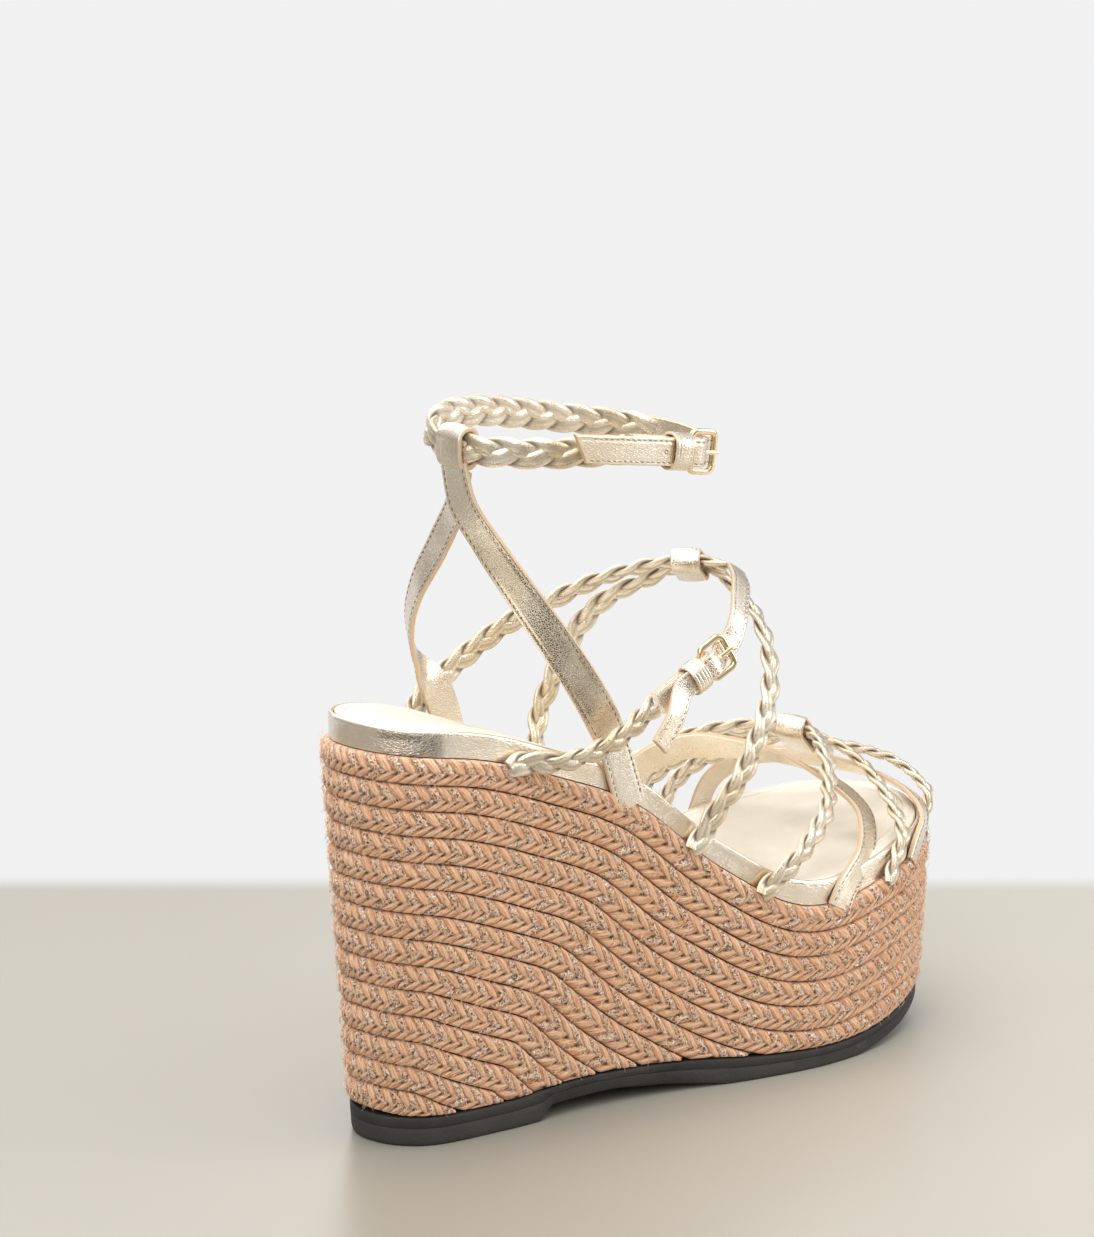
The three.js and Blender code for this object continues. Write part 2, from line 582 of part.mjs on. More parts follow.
// The strap end that holds the buckle: leather folded round the bar, with a slit for the prong.
function buckleEnd(buckle) {
  const eye = BAR_HOLE + FOLD;
  const lean = Math.asin(1.5 / eye);
  const side = new THREE.Shape();
  side.moveTo(-buckle.tail, -1.5);
  side.lineTo(-eye * Math.cos(lean), -1.5);
  side.absarc(0, 0, eye, Math.PI + lean, 3 * Math.PI - lean);
  side.lineTo(-buckle.tail, 1.5);
  side.closePath();
  side.holes.push(new THREE.Path().absarc(0, 0, BAR_HOLE, 0, 2 * Math.PI, true));
  const solid = new THREE.ExtrudeGeometry(side, {
    depth: buckle.width, bevelEnabled: false, curveSegments: 12,
  });
  solid.translate(0, 0, -buckle.width / 2).rotateX(Math.PI / 2);
  const slit = new THREE.BoxGeometry(6.8, 2.8, 8).translate(0.6, 0, 0);
  return subtract(solid, slit);
}

function buckleFrame(buckle) {
  const opening = buckle.width + 1.6;
  const corner = (w, h, r, path) => path
    .moveTo(-h + r, -w / 2).lineTo(h - r, -w / 2).absarc(h - r, -w / 2 + r, r, -Math.PI / 2, 0)
    .absarc(h - r, w / 2 - r, r, 0, Math.PI / 2).absarc(-h + r, w / 2 - r, r, Math.PI / 2, Math.PI)
    .absarc(-h + r, -w / 2 + r, r, Math.PI, 1.5 * Math.PI);
  const half = buckle.reach / 2;
  const shape = corner(opening + 2 * WIRE, half + WIRE / 2, 2.4, new THREE.Shape());
  shape.holes.push(corner(opening, half - WIRE / 2, 0.9, new THREE.Path()));
  const solid = new THREE.ExtrudeGeometry(shape, {
    depth: WIRE - 0.8, bevelSize: 0.4, bevelOffset: -0.4, bevelThickness: 0.4, bevelSegments: 1,
    curveSegments: 4,
  });
  return solid.translate(half, 0, -(WIRE - 0.8) / 2);
}

// The prong: an eye round the bar and an arm that rests on the frame's far side.
function prong(buckle) {
  const eye = BAR_HOLE + 0.9;
  const [low, high] = [WIRE / 2 + 0.3, eye * 0.98];
  const side = new THREE.Shape();
  side.moveTo(eye * Math.cos(Math.asin(low / eye)), low);
  side.lineTo(buckle.reach + 1.2, low);
  side.lineTo(buckle.reach + 1.2, low + 0.6);
  side.lineTo(2, high);
  side.absarc(0, 0, eye, Math.asin(high / eye), 2 * Math.PI + Math.asin(low / eye));
  side.holes.push(new THREE.Path().absarc(0, 0, BAR_HOLE, 0, 2 * Math.PI, true));
  const solid = new THREE.ExtrudeGeometry(side, { depth: 1.6, bevelEnabled: false, curveSegments: 10 });
  return solid.translate(0, 0, -0.8).rotateX(Math.PI / 2);
}

function keeper(buckle) {
  const low = -1.5 - 0.4;
  const high = TIP_OVER + TIP.thickness / 2 + 0.7;
  const solid = lieAlongX(hoop(buckle.width + 0.9, high - low, 1, buckle.keeperLength));
  return solid.translate(buckle.keeper, 0, (low + high) / 2);
}

function buckleSet(name, buckle) {
  return [
    meshOf(`${name}_tip_strap`, tipStrap(buckle), LOOK.leather),
    placed(
      buckle,
      meshOf(`${name}_buckle_end`, buckleEnd(buckle), LOOK.leather),
      meshOf(`${name}_buckle_frame`, buckleFrame(buckle), LOOK.gold),
      meshOf(`${name}_buckle_prong`, prong(buckle), LOOK.gold),
      meshOf(`${name}_keeper`, keeper(buckle), LOOK.leather),
    ),
  ];
}

// ---------------------------------------------------------------- assembly
const sandal = new THREE.Group();
const body = new THREE.Group();
body.position.set(...MIDDLE);
body.add(
  sole(),
  upper(),
  ringOf('heel_tab', RINGS.tab),
  ringOf('instep_ring', RINGS.instep),
  ringOf('vamp_ring', RINGS.vamp),
  ...buckleSet('ankle', BUCKLES.ankle),
  ...buckleSet('instep', BUCKLES.instep),
);
sandal.add(body);

export default sandal;
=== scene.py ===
"""A strappy wedge sandal for the right foot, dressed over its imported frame.

A jute-wrapped wedge on a rubber outsole, with a footbed in soft metallic leather, flat straps and
plaits that rise from the edge of the footbed, leather rings that gather them, and two buckles.
Lengths in this file are millimetres from the back of the heel on the centre line, with +X to the
toe, +Y to the inner side of the foot and +Z up. new_piece turns them into metres in the frame.
"""
import math

import bmesh
import bpy
import numpy as np
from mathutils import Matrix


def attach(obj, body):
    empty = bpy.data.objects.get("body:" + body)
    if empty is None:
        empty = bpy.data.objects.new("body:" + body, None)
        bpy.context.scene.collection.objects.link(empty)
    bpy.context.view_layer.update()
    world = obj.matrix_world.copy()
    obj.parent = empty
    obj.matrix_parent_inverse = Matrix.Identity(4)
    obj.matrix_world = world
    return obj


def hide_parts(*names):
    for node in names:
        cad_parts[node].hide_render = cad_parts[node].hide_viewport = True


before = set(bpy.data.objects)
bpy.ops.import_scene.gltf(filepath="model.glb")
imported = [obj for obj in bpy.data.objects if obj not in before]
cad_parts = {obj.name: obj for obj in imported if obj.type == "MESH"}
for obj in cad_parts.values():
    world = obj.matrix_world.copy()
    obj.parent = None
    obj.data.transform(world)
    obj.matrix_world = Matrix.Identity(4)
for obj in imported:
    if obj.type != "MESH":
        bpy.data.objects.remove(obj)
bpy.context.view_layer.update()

# ------------------------------------------------------------------------------------ studio
# A pale floor, with painted shade towards the camera's left, that ends in a white sweep, under four
# softboxes: one overhead, one from each side and one from behind. Only the metallic leather and the
# buckles see the two low dark cards.
AZIMUTH = math.radians(-42.32)
ELEVATION = math.radians(14.38)
CAMERA_DISTANCE = 1.8
LOOK_AT = (-0.0008, -0.0024, 0.1)
SWEEP_START = 0.196    # metres behind the sandal
SWEEP_BLEND = 0.022
WHITE = (0.881, 0.881, 0.881)

back = np.array([
    math.sin(AZIMUTH) * math.cos(ELEVATION),
    -math.cos(AZIMUTH) * math.cos(ELEVATION),
    math.sin(ELEVATION),
])
camera = bpy.data.objects.new("camera", bpy.data.cameras.new("camera"))
camera.data.lens = 172.51
camera.data.sensor_width = 36
camera.data.shift_x = -0.070
camera.data.shift_y = 0.108
camera.data.clip_end = 60
camera.location = np.array(LOOK_AT) + CAMERA_DISTANCE * back
camera.rotation_euler = (math.pi / 2 - ELEVATION, 0, AZIMUTH)
bpy.context.scene.collection.objects.link(camera)
bpy.context.scene.camera = camera
bpy.context.scene.view_settings.view_transform = "Standard"


def node_maker(tree):
    """Returns add(type, inputs, settings), which adds a node and fills or links its inputs."""
    def add(kind, inputs=None, **settings):
        node = tree.nodes.new("ShaderNode" + kind)
        for key, value in settings.items():
            setattr(node, key, value)
        for key, value in (inputs or {}).items():
            if isinstance(value, bpy.types.NodeSocket):
                tree.links.new(value, node.inputs[key])
            else:
                node.inputs[key].default_value = value
        return node
    return add


def new_material(name):
    """A material with a bare node tree. Returns it, its node maker and its output node."""
    material = bpy.data.materials.new(name)
    material.use_nodes = True
    material.node_tree.nodes.clear()
    add = node_maker(material.node_tree)
    return material, add, add("OutputMaterial")


def ramp(add, value, *stops):
    """A colour ramp through (place, colour) stops, with linear steps."""
    node = add("ValToRGB", {"Fac": value})
    elements = node.color_ramp.elements
    for place, colour in stops[2:]:
        elements.new(place)
    for element, (place, colour) in zip(sorted(elements, key=lambda e: e.position), sorted(stops)):
        element.position = place
        element.color = (*colour, 1) if len(colour) == 3 else colour
    return node.outputs["Color"]


def mix(add, factor, a, b):
    """One colour blended into another."""
    node = add("Mix", {0: factor, 6: a, 7: b}, data_type="RGBA")
    return node.outputs[2]


def floor_material():
    """Pale satin floor, with painted shade that darkens it towards the camera's left, that turns into an
    evenly lit white sweep behind the sandal."""
    material, add, output = new_material("studio_floor")
    place = add("TexCoord").outputs["Object"]
    turned = add("Mapping", {"Vector": place, "Rotation": (0, 0, -AZIMUTH)})
    seen = add("SeparateXYZ", {"Vector": turned.outputs["Vector"]}).outputs
    sweep = add("MapRange", {
        "Value": seen["Y"], "From Min": SWEEP_START, "From Max": SWEEP_START + SWEEP_BLEND,
    }, interpolation_type="SMOOTHSTEP").outputs["Result"]
    cloud = add("TexNoise", {"Vector": place, "Scale": 3, "Detail": 2}).outputs["Fac"]
    light = ramp(add, cloud, (0.3, (0.455, 0.432, 0.38)), (0.7, (0.48, 0.458, 0.405)))
    # Painted shade: the floor's colour darkens towards the camera's left.
    side = add("MapRange", {"Value": seen["X"], "From Min": -0.16, "From Max": 0.14},
               interpolation_type="SMOOTHSTEP").outputs["Result"]
    floor_with_painted_shade = mix(add, side, (0.275, 0.252, 0.208, 1), light)
    paper = add("BsdfPrincipled", {"Base Color": floor_with_painted_shade, "Roughness": 0.34})
    glow = add("Emission", {"Color": (*WHITE, 1), "Strength": 1})
    both = add("MixShader", {0: sweep, 1: paper.outputs[0], 2: glow.outputs[0]})
    material.node_tree.links.new(both.outputs[0], output.inputs["Surface"])
    return material


def add_plane(name, centre, size, facing, material):
    """A flat stage rectangle of a size (across, up) at a centre, looking along `facing`."""
    normal = np.array(facing, float) / np.linalg.norm(facing)
    up = np.array([0, 1.0, 0]) if abs(normal[2]) > 0.9 else np.array([0, 0, 1.0])
    across = np.cross(up, normal)
    across /= np.linalg.norm(across)
    up = np.cross(normal, across)
    signs = np.array([[-1, -1], [1, -1], [1, 1], [-1, 1]]) / 2
    corners = centre + signs[:, :1] * across * size[0] + signs[:, 1:] * up * size[1]
    mesh = bpy.data.meshes.new(name)
    mesh.from_pydata(corners.tolist(), [], [(0, 1, 2, 3)])
    mesh.materials.append(material)
    plane = bpy.data.objects.new(name, mesh)
    bpy.context.scene.collection.objects.link(plane)
    return plane


def add_softbox(name, place, size, power, colour):
    """A rectangular area light that looks at the sandal's middle."""
    light = bpy.data.lights.new(name, "AREA")
    light.shape = "RECTANGLE"
    light.size, light.size_y = size
    light.energy = power
    light.color = colour
    box = bpy.data.objects.new(name, light)
    box.location = place
    direction = np.array(place, float) - np.array(LOOK_AT)
    flat = math.hypot(direction[0], direction[1])
    box.rotation_euler = (math.atan2(flat, direction[2]), 0, math.atan2(direction[0], -direction[1]))
    bpy.context.scene.collection.objects.link(box)


def add_dark_card(name, centre, size, facing):
    """A black card that only mirror-like surfaces see: it draws the dark streak in the metal."""
    material, add, output = new_material(name)
    card = add("BsdfPrincipled", {"Base Color": (0.02, 0.018, 0.015, 1), "Roughness": 0.9})
    material.node_tree.links.new(card.outputs[0], output.inputs["Surface"])
    plane = add_plane(name, np.array(centre), size, facing, material)
    for ray in ("camera", "diffuse", "shadow", "transmission", "volume_scatter"):
        setattr(plane, "visible_" + ray, False)


add_plane("floor", np.zeros(3), (30, 30), (0, 0, 1), floor_material())
add_dark_card("dark_card_side", (-0.17, -0.34, 0.07), (0.2, 0.135), (0.2, 1, 0))
add_dark_card("dark_card_heel", (-0.21, -0.09, 0.05), (0.15, 0.095), (0.9, 0.4, 0))
add_softbox("top_softbox", (-0.3, -0.1, 1.5), (1.6, 1.6), 18, (1, 0.99, 0.97))
add_softbox("left_softbox", (-1.7, -1.1, 1.2), (1.1, 1.2), 16, (1, 0.98, 0.95))
add_softbox("right_softbox", (1.5, -1.2, 0.8), (0.9, 1.2), 14.5, (1, 0.97, 0.93))
add_softbox("rear_softbox", (0.5, 1.5, 0.9), (1.4, 0.9), 9, (1, 0.99, 0.98))

world = bpy.data.worlds.new("studio")
world.use_nodes = True
world.node_tree.nodes.clear()
add = node_maker(world.node_tree)
seen = add("LightPath").outputs["Is Camera Ray"]
height = add("SeparateXYZ", {"Vector": add("TexCoord").outputs["Generated"]}).outputs["Z"]
room = ramp(add, height, (0.0, (0.17, 0.15, 0.13)), (0.22, (0.5, 0.49, 0.48)), (0.8, (0.85, 0.85, 0.85)))
shown = add("Mix", {"Factor": seen, "A": room, "B": (*WHITE, 1)}, data_type="RGBA")
lit = add("Background", {"Color": shown.outputs["Result"], "Strength": 1})
world.node_tree.links.new(lit.outputs[0], add("OutputWorld").inputs["Surface"])
bpy.context.scene.world = world

# ----------------------------------------------------------------------------------- outsole
# Moulded charcoal rubber: a thick heel block with a breast step, a waist that stays off the
# ground and a flat tread under the ball. It is glued under the wedge and follows its outline.
MIDDLE = np.array([-115.8, -2.4, 0.0])  # from this file's zero to the frame's
DRAFT = 0.06                            # how far the wedge wall leans in per millimetre down
GAP = 0.35
SOLE_INSET = 0.6
TREAD_PITCH = 5.0
TREAD_DEPTH = 0.9
HEEL_END = 57          # the sole touches the ground behind this x
BALL_START = 124       # and in front of this one
OUTLINE = np.array([
    (0, 0), (3.5, -14), (15, -24.8), (44.6, -29.2), (74.8, -29.4), (104.8, -33.2), (134.2, -39.8),
    (164.2, -43.1), (193.8, -38), (219.5, -22.7), (231.6, 4.3), (220.7, 31.5), (193.4, 43.4),
    (163.4, 45.6), (133.8, 39.6), (104.7, 31.5), (74.8, 28), (44.6, 28.8), (15, 24.1), (3.5, 13),
], float)
RIM_HEIGHTS = np.array([
    (0, 121), (30, 117), (60, 107), (90, 93.5), (120, 69), (150, 53), (190, 56), (232, 60.7),
], float)
SOLE_TOP_HEIGHTS = np.array([
    (0, 9), (45, 9), (60, 10), (80, 10.5), (110, 9.5), (140, 7), (170, 6.5), (200, 10), (232, 17),
], float)
SOLE_FLOOR_HEIGHTS = np.array([
    (0, 0), (58, 0), (62, 4.4), (85, 4.8), (104, 3), (124, 0), (176, 0), (200, 3.5), (232, 11.5),
], float)
CHARCOAL = ((0.018, 0.017, 0.016), (0.045, 0.042, 0.040))


def spline(points, t, closed=False):
    """Centripetal Catmull-Rom curve: between points k and k+1 a cubic whose end slopes come from
    divided differences over chord lengths to the power one half. t counts the points."""
    n = len(points)
    if closed:
        around = points[np.arange(-1, n + 2) % n]
    else:
        around = np.vstack([2 * points[0] - points[1], points, 2 * points[-1] - points[-2]])
    k = np.clip(np.floor(t).astype(int), 0, n - 1 if closed else n - 2)
    w = (t - k)[:, None]
    p0, p1, p2, p3 = (around[k + i] for i in range(4))
    d0, d1, d2 = (np.sqrt(np.linalg.norm(b - a, axis=1))[:, None]
                  for a, b in ((p0, p1), (p1, p2), (p2, p3)))
    m1 = ((p1 - p0) / d0 - (p2 - p0) / (d0 + d1) + (p2 - p1) / d1) * d1
    m2 = ((p2 - p1) / d1 - (p3 - p1) / (d1 + d2) + (p3 - p2) / d2) * d1
    return (p1 + w * m1 + w**2 * (3 * p2 - 3 * p1 - 2 * m1 - m2)
            + w**3 * (2 * p1 - 2 * p2 + m1 + m2))


def even_steps(points, count, closed=False):
    """The spline's own t at `count` places spaced evenly along its length, and that length."""
    spans = len(points) if closed else len(points) - 1
    t = np.linspace(0, spans, 60 * spans + 1)
    trail = spline(points, np.minimum(t, spans - 1e-9), closed)
    run = np.r_[0, np.cumsum(np.linalg.norm(np.diff(trail, axis=0), axis=1))]
    wanted = np.linspace(0, run[-1], count, endpoint=not closed)
    return np.minimum(np.interp(wanted, run, t), spans - 1e-9), run[-1]


def height_curve(points, x):
    """Cubic through (x, z) points, each point's slope being that of the chord past it."""
    xs, zs = points.T
    after = np.r_[1:len(xs), len(xs) - 1]
    before = np.r_[0, 0:len(xs) - 1]
    slope = (zs[after] - zs[before]) / (xs[after] - xs[before])
    i = np.clip(np.searchsorted(xs, x) - 1, 0, len(xs) - 2)
    span = xs[i + 1] - xs[i]
    t = np.clip((x - xs[i]) / span, 0, 1)
    rise = 3 * t**2 - 2 * t**3
    swing = slope[i] * t * (1 - t)**2 - slope[i + 1] * t**2 * (1 - t)
    return zs[i] + (zs[i + 1] - zs[i]) * rise + span * swing


class Rim:
    """`count` places spaced evenly round the wedge's top edge: where, which way is in, how high."""

    def __init__(self, count):
        t, self.length = even_steps(OUTLINE, count, closed=True)
        ahead = spline(OUTLINE, np.mod(t + 1e-4, len(OUTLINE)), True)
        self.at = spline(OUTLINE, t, True)
        along = ahead - self.at
        self.inward = np.stack([-along[:, 1], along[:, 0]], 1)
        self.inward /= np.linalg.norm(self.inward, axis=1)[:, None]
        self.run = np.arange(count) * self.length / count
        self.top = height_curve(RIM_HEIGHTS, self.at[:, 0])

    def wall(self, z, inset):
        """Points at heights z, `inset` inside the jute's face, with the wall leaning in downwards."""
        lean = inset + DRAFT * np.maximum(self.top - z, 0)
        flat = self.at + self.inward * np.asarray(lean)[:, None]
        return np.column_stack([flat, z])


def quads(rings, points, closed):
    """Faces between neighbouring rings of points. Each ring closes on itself."""
    i = np.arange(rings if closed else rings - 1)[:, None]
    j = np.arange(points)[None, :]
    here, there = i * points, ((i + 1) % rings) * points
    turn = (j + 1) % points
    return np.stack([here + j, here + turn, there + turn, there + j], -1).reshape(-1, 4)


def sheet_quads(rows, columns):
    """Faces of an open grid of rows by columns."""
    i, j = np.meshgrid(np.arange(rows - 1), np.arange(columns - 1), indexing="ij")
    a = i * columns + j
    return np.stack([a, a + 1, a + columns + 1, a + columns], -1).reshape(-1, 4)


def new_piece(name, points, faces, material, body="root", node=None, slot="leather", **fields):
    """A closed, outward-facing mesh from points in this file's millimetres. Each field becomes an
    attribute of its points, with one or three numbers for each."""
    mesh = bpy.data.meshes.new(name)
    points = np.asarray(points).reshape(-1, 3)
    mesh.from_pydata(((points + MIDDLE) * 0.001).tolist(), [], [list(map(int, f)) for f in faces])
    for field, values in fields.items():
        values = np.asarray(values, np.float32)
        kind, key = ("FLOAT", "value") if values.size == len(points) else ("FLOAT_VECTOR", "vector")
        mesh.attributes.new(field, kind, "POINT").data.foreach_set(key, values.ravel())
    shell = bmesh.new()
    shell.from_mesh(mesh)
    bmesh.ops.remove_doubles(shell, verts=shell.verts, dist=1e-6)
    bmesh.ops.recalc_face_normals(shell, faces=shell.faces)
    shell.to_mesh(mesh)
    shell.free()
    mesh.shade_smooth()
    mesh.set_sharp_from_angle(angle=math.radians(50))
    mesh.materials.append(material)
    piece = bpy.data.objects.new(name, mesh)
    bpy.context.scene.collection.objects.link(piece)
    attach(piece, body)
    if node:
        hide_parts(node)
    return piece


def plate(rim, loops, columns, crown=None):
    """A plate inside the rim: loops of points from its upper edge round its side to its lower edge,
    and two decks ruled from the outer side to the inner side. crown(deck, upper) may reshape them."""
    count = len(rim.run)
    half = count // 2
    side = np.concatenate(loops)
    i = np.arange(half + 1)
    share = np.linspace(0, 1, columns + 1)[None, :, None]
    decks = []
    for loop, upper in ((loops[0], True), (loops[-1], False)):
        deck = loop[i][:, None] * (1 - share) + loop[(count - i) % count][:, None] * share
        decks.append(crown(deck, upper) if crown else deck)
    deck_faces = sheet_quads(half + 1, columns + 1)
    start = len(side)
    points = np.vstack([side, decks[0].reshape(-1, 3), decks[1].reshape(-1, 3)])
    faces = np.vstack([
        quads(len(loops), count, False), deck_faces + start,
        deck_faces + start + decks[0][..., 0].size,
    ])
    return points, faces


def finish_material(material, add, output, normal, **sockets):
    """A Principled surface with the given sockets, into the material's output."""
    if normal is not None:
        sockets["Normal"] = normal
    named = {key.replace("_", " "): value for key, value in sockets.items()}
    surface = add("BsdfPrincipled", named)
    material.node_tree.links.new(surface.outputs[0], output.inputs["Surface"])
    return material


def grained_material(name, scale, rough, stops, detail=None, bump=None):
    """A dull surface whose colour follows one fine pattern: noise of the given detail, or else the
    distance inside small cells. bump is (strength, depth in metres) of the same pattern."""
    material, add, output = new_material(name)
    given = {"Vector": add("TexCoord").outputs["Object"], "Scale": scale}
    if detail is None:
        pattern = add("TexVoronoi", given).outputs["Distance"]
    else:
        pattern = add("TexNoise", {**given, "Detail": detail}).outputs["Fac"]
    normal = None
    if bump:
        heights = {"Height": pattern, "Strength": bump[0], "Distance": bump[1]}
        normal = add("Bump", heights).outputs["Normal"]
    colour = ramp(add, pattern, *stops)
    return finish_material(material, add, output, normal, Base_Color=colour, Roughness=rough)


def rubber_material():
    """Charcoal rubber with a moulded pebble and a dusty lower edge."""
    material, add, output = new_material("charcoal_rubber")
    place = add("TexCoord").outputs["Object"]
    cloud = add("TexNoise", {"Vector": place, "Scale": 60, "Detail": 6}).outputs["Fac"]
    pebble = add("TexVoronoi", {"Vector": place, "Scale": 1100}).outputs["Distance"]
    height = add("SeparateXYZ", {"Vector": place}).outputs["Z"]
    dust = add("MapRange", {"Value": height, "From Min": 0.004, "From Max": 0.0, "To Max": 0.35})
    colour = ramp(add, cloud, (0.3, CHARCOAL[0]), (0.75, CHARCOAL[1]))
    dusty = mix(add, dust.outputs["Result"], colour, (0.09, 0.082, 0.072, 1))
    rough = add("MapRange", {"Value": cloud, "To Min": 0.55, "To Max": 0.85}).outputs["Result"]
    bump = add("Bump", {"Height": pebble, "Strength": 0.35, "Distance": 0.0003}).outputs["Normal"]
    return finish_material(material, add, output, bump, Base_Color=dusty, Roughness=rough)


def tread(deck, upper):
    """Cross grooves under the heel and the ball: the floor rises by a rounded square wave of x."""
    if upper:
        return deck
    x = deck[..., 0]
    wave = np.clip(3 * np.cos(2 * np.pi * (x + 0.08 * deck[..., 1]**2 / 10) / TREAD_PITCH) - 1.6, 0, 1)
    share = np.linspace(0, 1, deck.shape[1])[None, :]
    edge = np.clip(12 * np.minimum(share, 1 - share), 0, 1)
    touching = (x < HEEL_END) | (x > BALL_START)
    out = deck.copy()
    out[..., 2] += TREAD_DEPTH * wave * edge * touching
    return out


rim = Rim(720)
sole_top = height_curve(SOLE_TOP_HEIGHTS, rim.at[:, 0])
sole_floor = np.interp(rim.at[:, 0], *SOLE_FLOOR_HEIGHTS.T)
sole_loops = [
    rim.wall(sole_floor + (sole_top - sole_floor) * share, SOLE_INSET + inset)
    for share, inset in (
        (1, 0.5), (0.97, 0.15), (0.9, 0), (0.66, 0), (0.62, 0.3), (0.58, 0), (0.2, 0), (0.08, 0.2), (0, 0.8),
    )
]
points, faces = plate(rim, sole_loops, 48, tread)
new_piece("moulded_outsole", points, faces, rubber_material(), node="outsole", slot="rubber")

# ------------------------------------------------------------------------- wedge and insides
# A pressed cork wedge with a spring steel shank let into its top, and a fibre board on it.
# The jute, the rand and the footbed cover all three.


def cork_material():
    """Pressed cork: dark and light granules, with the glue that holds the jute."""
    material, add, output = new_material("pressed_cork")
    place = add("TexCoord").outputs["Object"]
    grains = add("TexVoronoi", {"Vector": place, "Scale": 420})
    colour = ramp(add, grains.outputs["Color"], (0.2, (0.09, 0.045, 0.02)), (0.8, (0.22, 0.12, 0.06)))
    bump = add("Bump", {"Height": grains.outputs["Distance"], "Strength": 0.4, "Distance": 0.0005})
    return finish_material(
        material, add, output, bump.outputs["Normal"], Base_Color=colour, Roughness=0.9)


def shank_material():
    """Rolled spring steel with fine lines along its length."""
    material, add, output = new_material("spring_steel")
    place = add("TexCoord").outputs["Object"]
    stretched = add("Mapping", {"Vector": place, "Scale": (40, 2500, 2500)}).outputs["Vector"]
    lines = add("TexNoise", {"Vector": stretched, "Scale": 1}).outputs["Fac"]
    rough = add("MapRange", {"Value": lines, "To Min": 0.25, "To Max": 0.5}).outputs["Result"]
    return finish_material(
        material, add, output, None, Base_Color=(0.45, 0.45, 0.46, 1), Metallic=1.0, Roughness=rough)


board = grained_material(
    "fibre_board", 900, 0.9, ((0.3, (0.22, 0.14, 0.07)), (0.7, (0.36, 0.25, 0.14))), detail=4)
for node, material in (
    ("wedge_core", cork_material()), ("insole_board", board), ("steel_shank", shank_material()),
):
    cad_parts[node].data.materials.clear()
    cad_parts[node].data.materials.append(material)

# --------------------------------------------------------------------------------- jute rows
# Jute braid wound round the wedge in turns: every turn is a flat braid of plump strands that
# meet in a toothed line along its middle. Some of the strands are gold and silver lurex.
TAPE_PITCH = 7.9
TAPE_THICKNESS = 3.0
ROWS = 14
STRAND = 3.7           # length of tape between one strand and the next
UPPER_SLANT = 2.6      # how far the upper strands run back from the middle to the edge
LOWER_SLANT = 5.4
STRAND_RELIEF = 1.15   # depth of the hollows between strands
FIBRE_RELIEF = 0.07    # depth of the ropes of fibre in one strand
LUREX_UPPER = 2        # every second upper strand is lurex, and every fifth lower one
LUREX_LOWER = 5
ROW_LIFT = 0.25        # the braid's belly stands this far out of its band
ROW_RUN_OUT = 1.2      # a turn ends where less than this shows above the outsole
JUTE_SECTION = 24
FUZZ_PASSES = 9
FUZZ_RADII = np.array([0.09, 0.08, 0.02])
FUZZ_REACH = (1.6, 4.2)
FUZZ_LIFT = (0.1, 0.9)


def unit(v):
    """v scaled to length one."""
    v = np.asarray(v, float)
    return v / np.linalg.norm(v, axis=-1, keepdims=True)


def wrap_line(rim, drop):
    """Height of the line `drop` under the rim along the wall: the lowest arc of that radius."""
    if drop == 0:
        return rim.top
    away = np.abs(rim.run[:, None] - rim.run[None, :])
    away = np.minimum(away, rim.length - away)
    fall = np.sqrt(np.maximum(drop**2 - away**2, 0))
    return np.where(away < drop, rim.top[None, :] - fall, np.inf).min(1)


def capped(rings, start=0):
    """Faces of a swept solid with both ends closed, for points counted from `start`."""
    count, around = rings.shape[:2]
    end = np.arange(around) + start
    return [*(quads(count, around, False) + start), end, end + (count - 1) * around]


def copies(faces, count, stride):
    """The same faces for `count` like shapes whose points follow each other, `stride` for each."""
    faces = np.asarray(faces)
    return list((faces[None] + stride * np.arange(count)[:, None, None]).reshape(-1, faces.shape[1]))


def smoothstep(low, high, x):
    """0 below low, 1 above high and a smooth rise between."""
    t = np.clip((x - low) / (high - low), 0, 1)
    return t * t * (3 - 2 * t)


def braid(run, v, seed):
    """Relief, strand number and both lie coordinates of a flat braid. v is -1 at the tape's lower
    edge and 1 at its upper edge. Above the middle the strands lean one way and below it the other;
    each is a rounded ridge with its far edge tucked under the next, and the higher field shows."""
    wobble = 0.35 * np.sin(run / 9.1 + seed) + 0.25 * np.sin(run / 3.7 + 2.3 * seed)
    upper = (run + UPPER_SLANT * v + wobble) / STRAND
    lower = (run - LOWER_SLANT * v + wobble) / STRAND + 0.5
    ridge = [np.abs(np.sin(np.pi * c))**0.7 * (0.82 + 0.18 * (c % 1)) for c in (upper, lower)]
    tops = [
        ridge[0] * smoothstep(-0.42, 0.08, v) * (1 - 0.12 * v),
        ridge[1] * smoothstep(0.36, -0.12, v) * 0.97,
    ]
    shows_upper = tops[0] > tops[1]
    strand = np.where(shows_upper, np.floor(upper), np.floor(lower) + 2)
    return np.maximum(*tops), strand, upper, lower, shows_upper


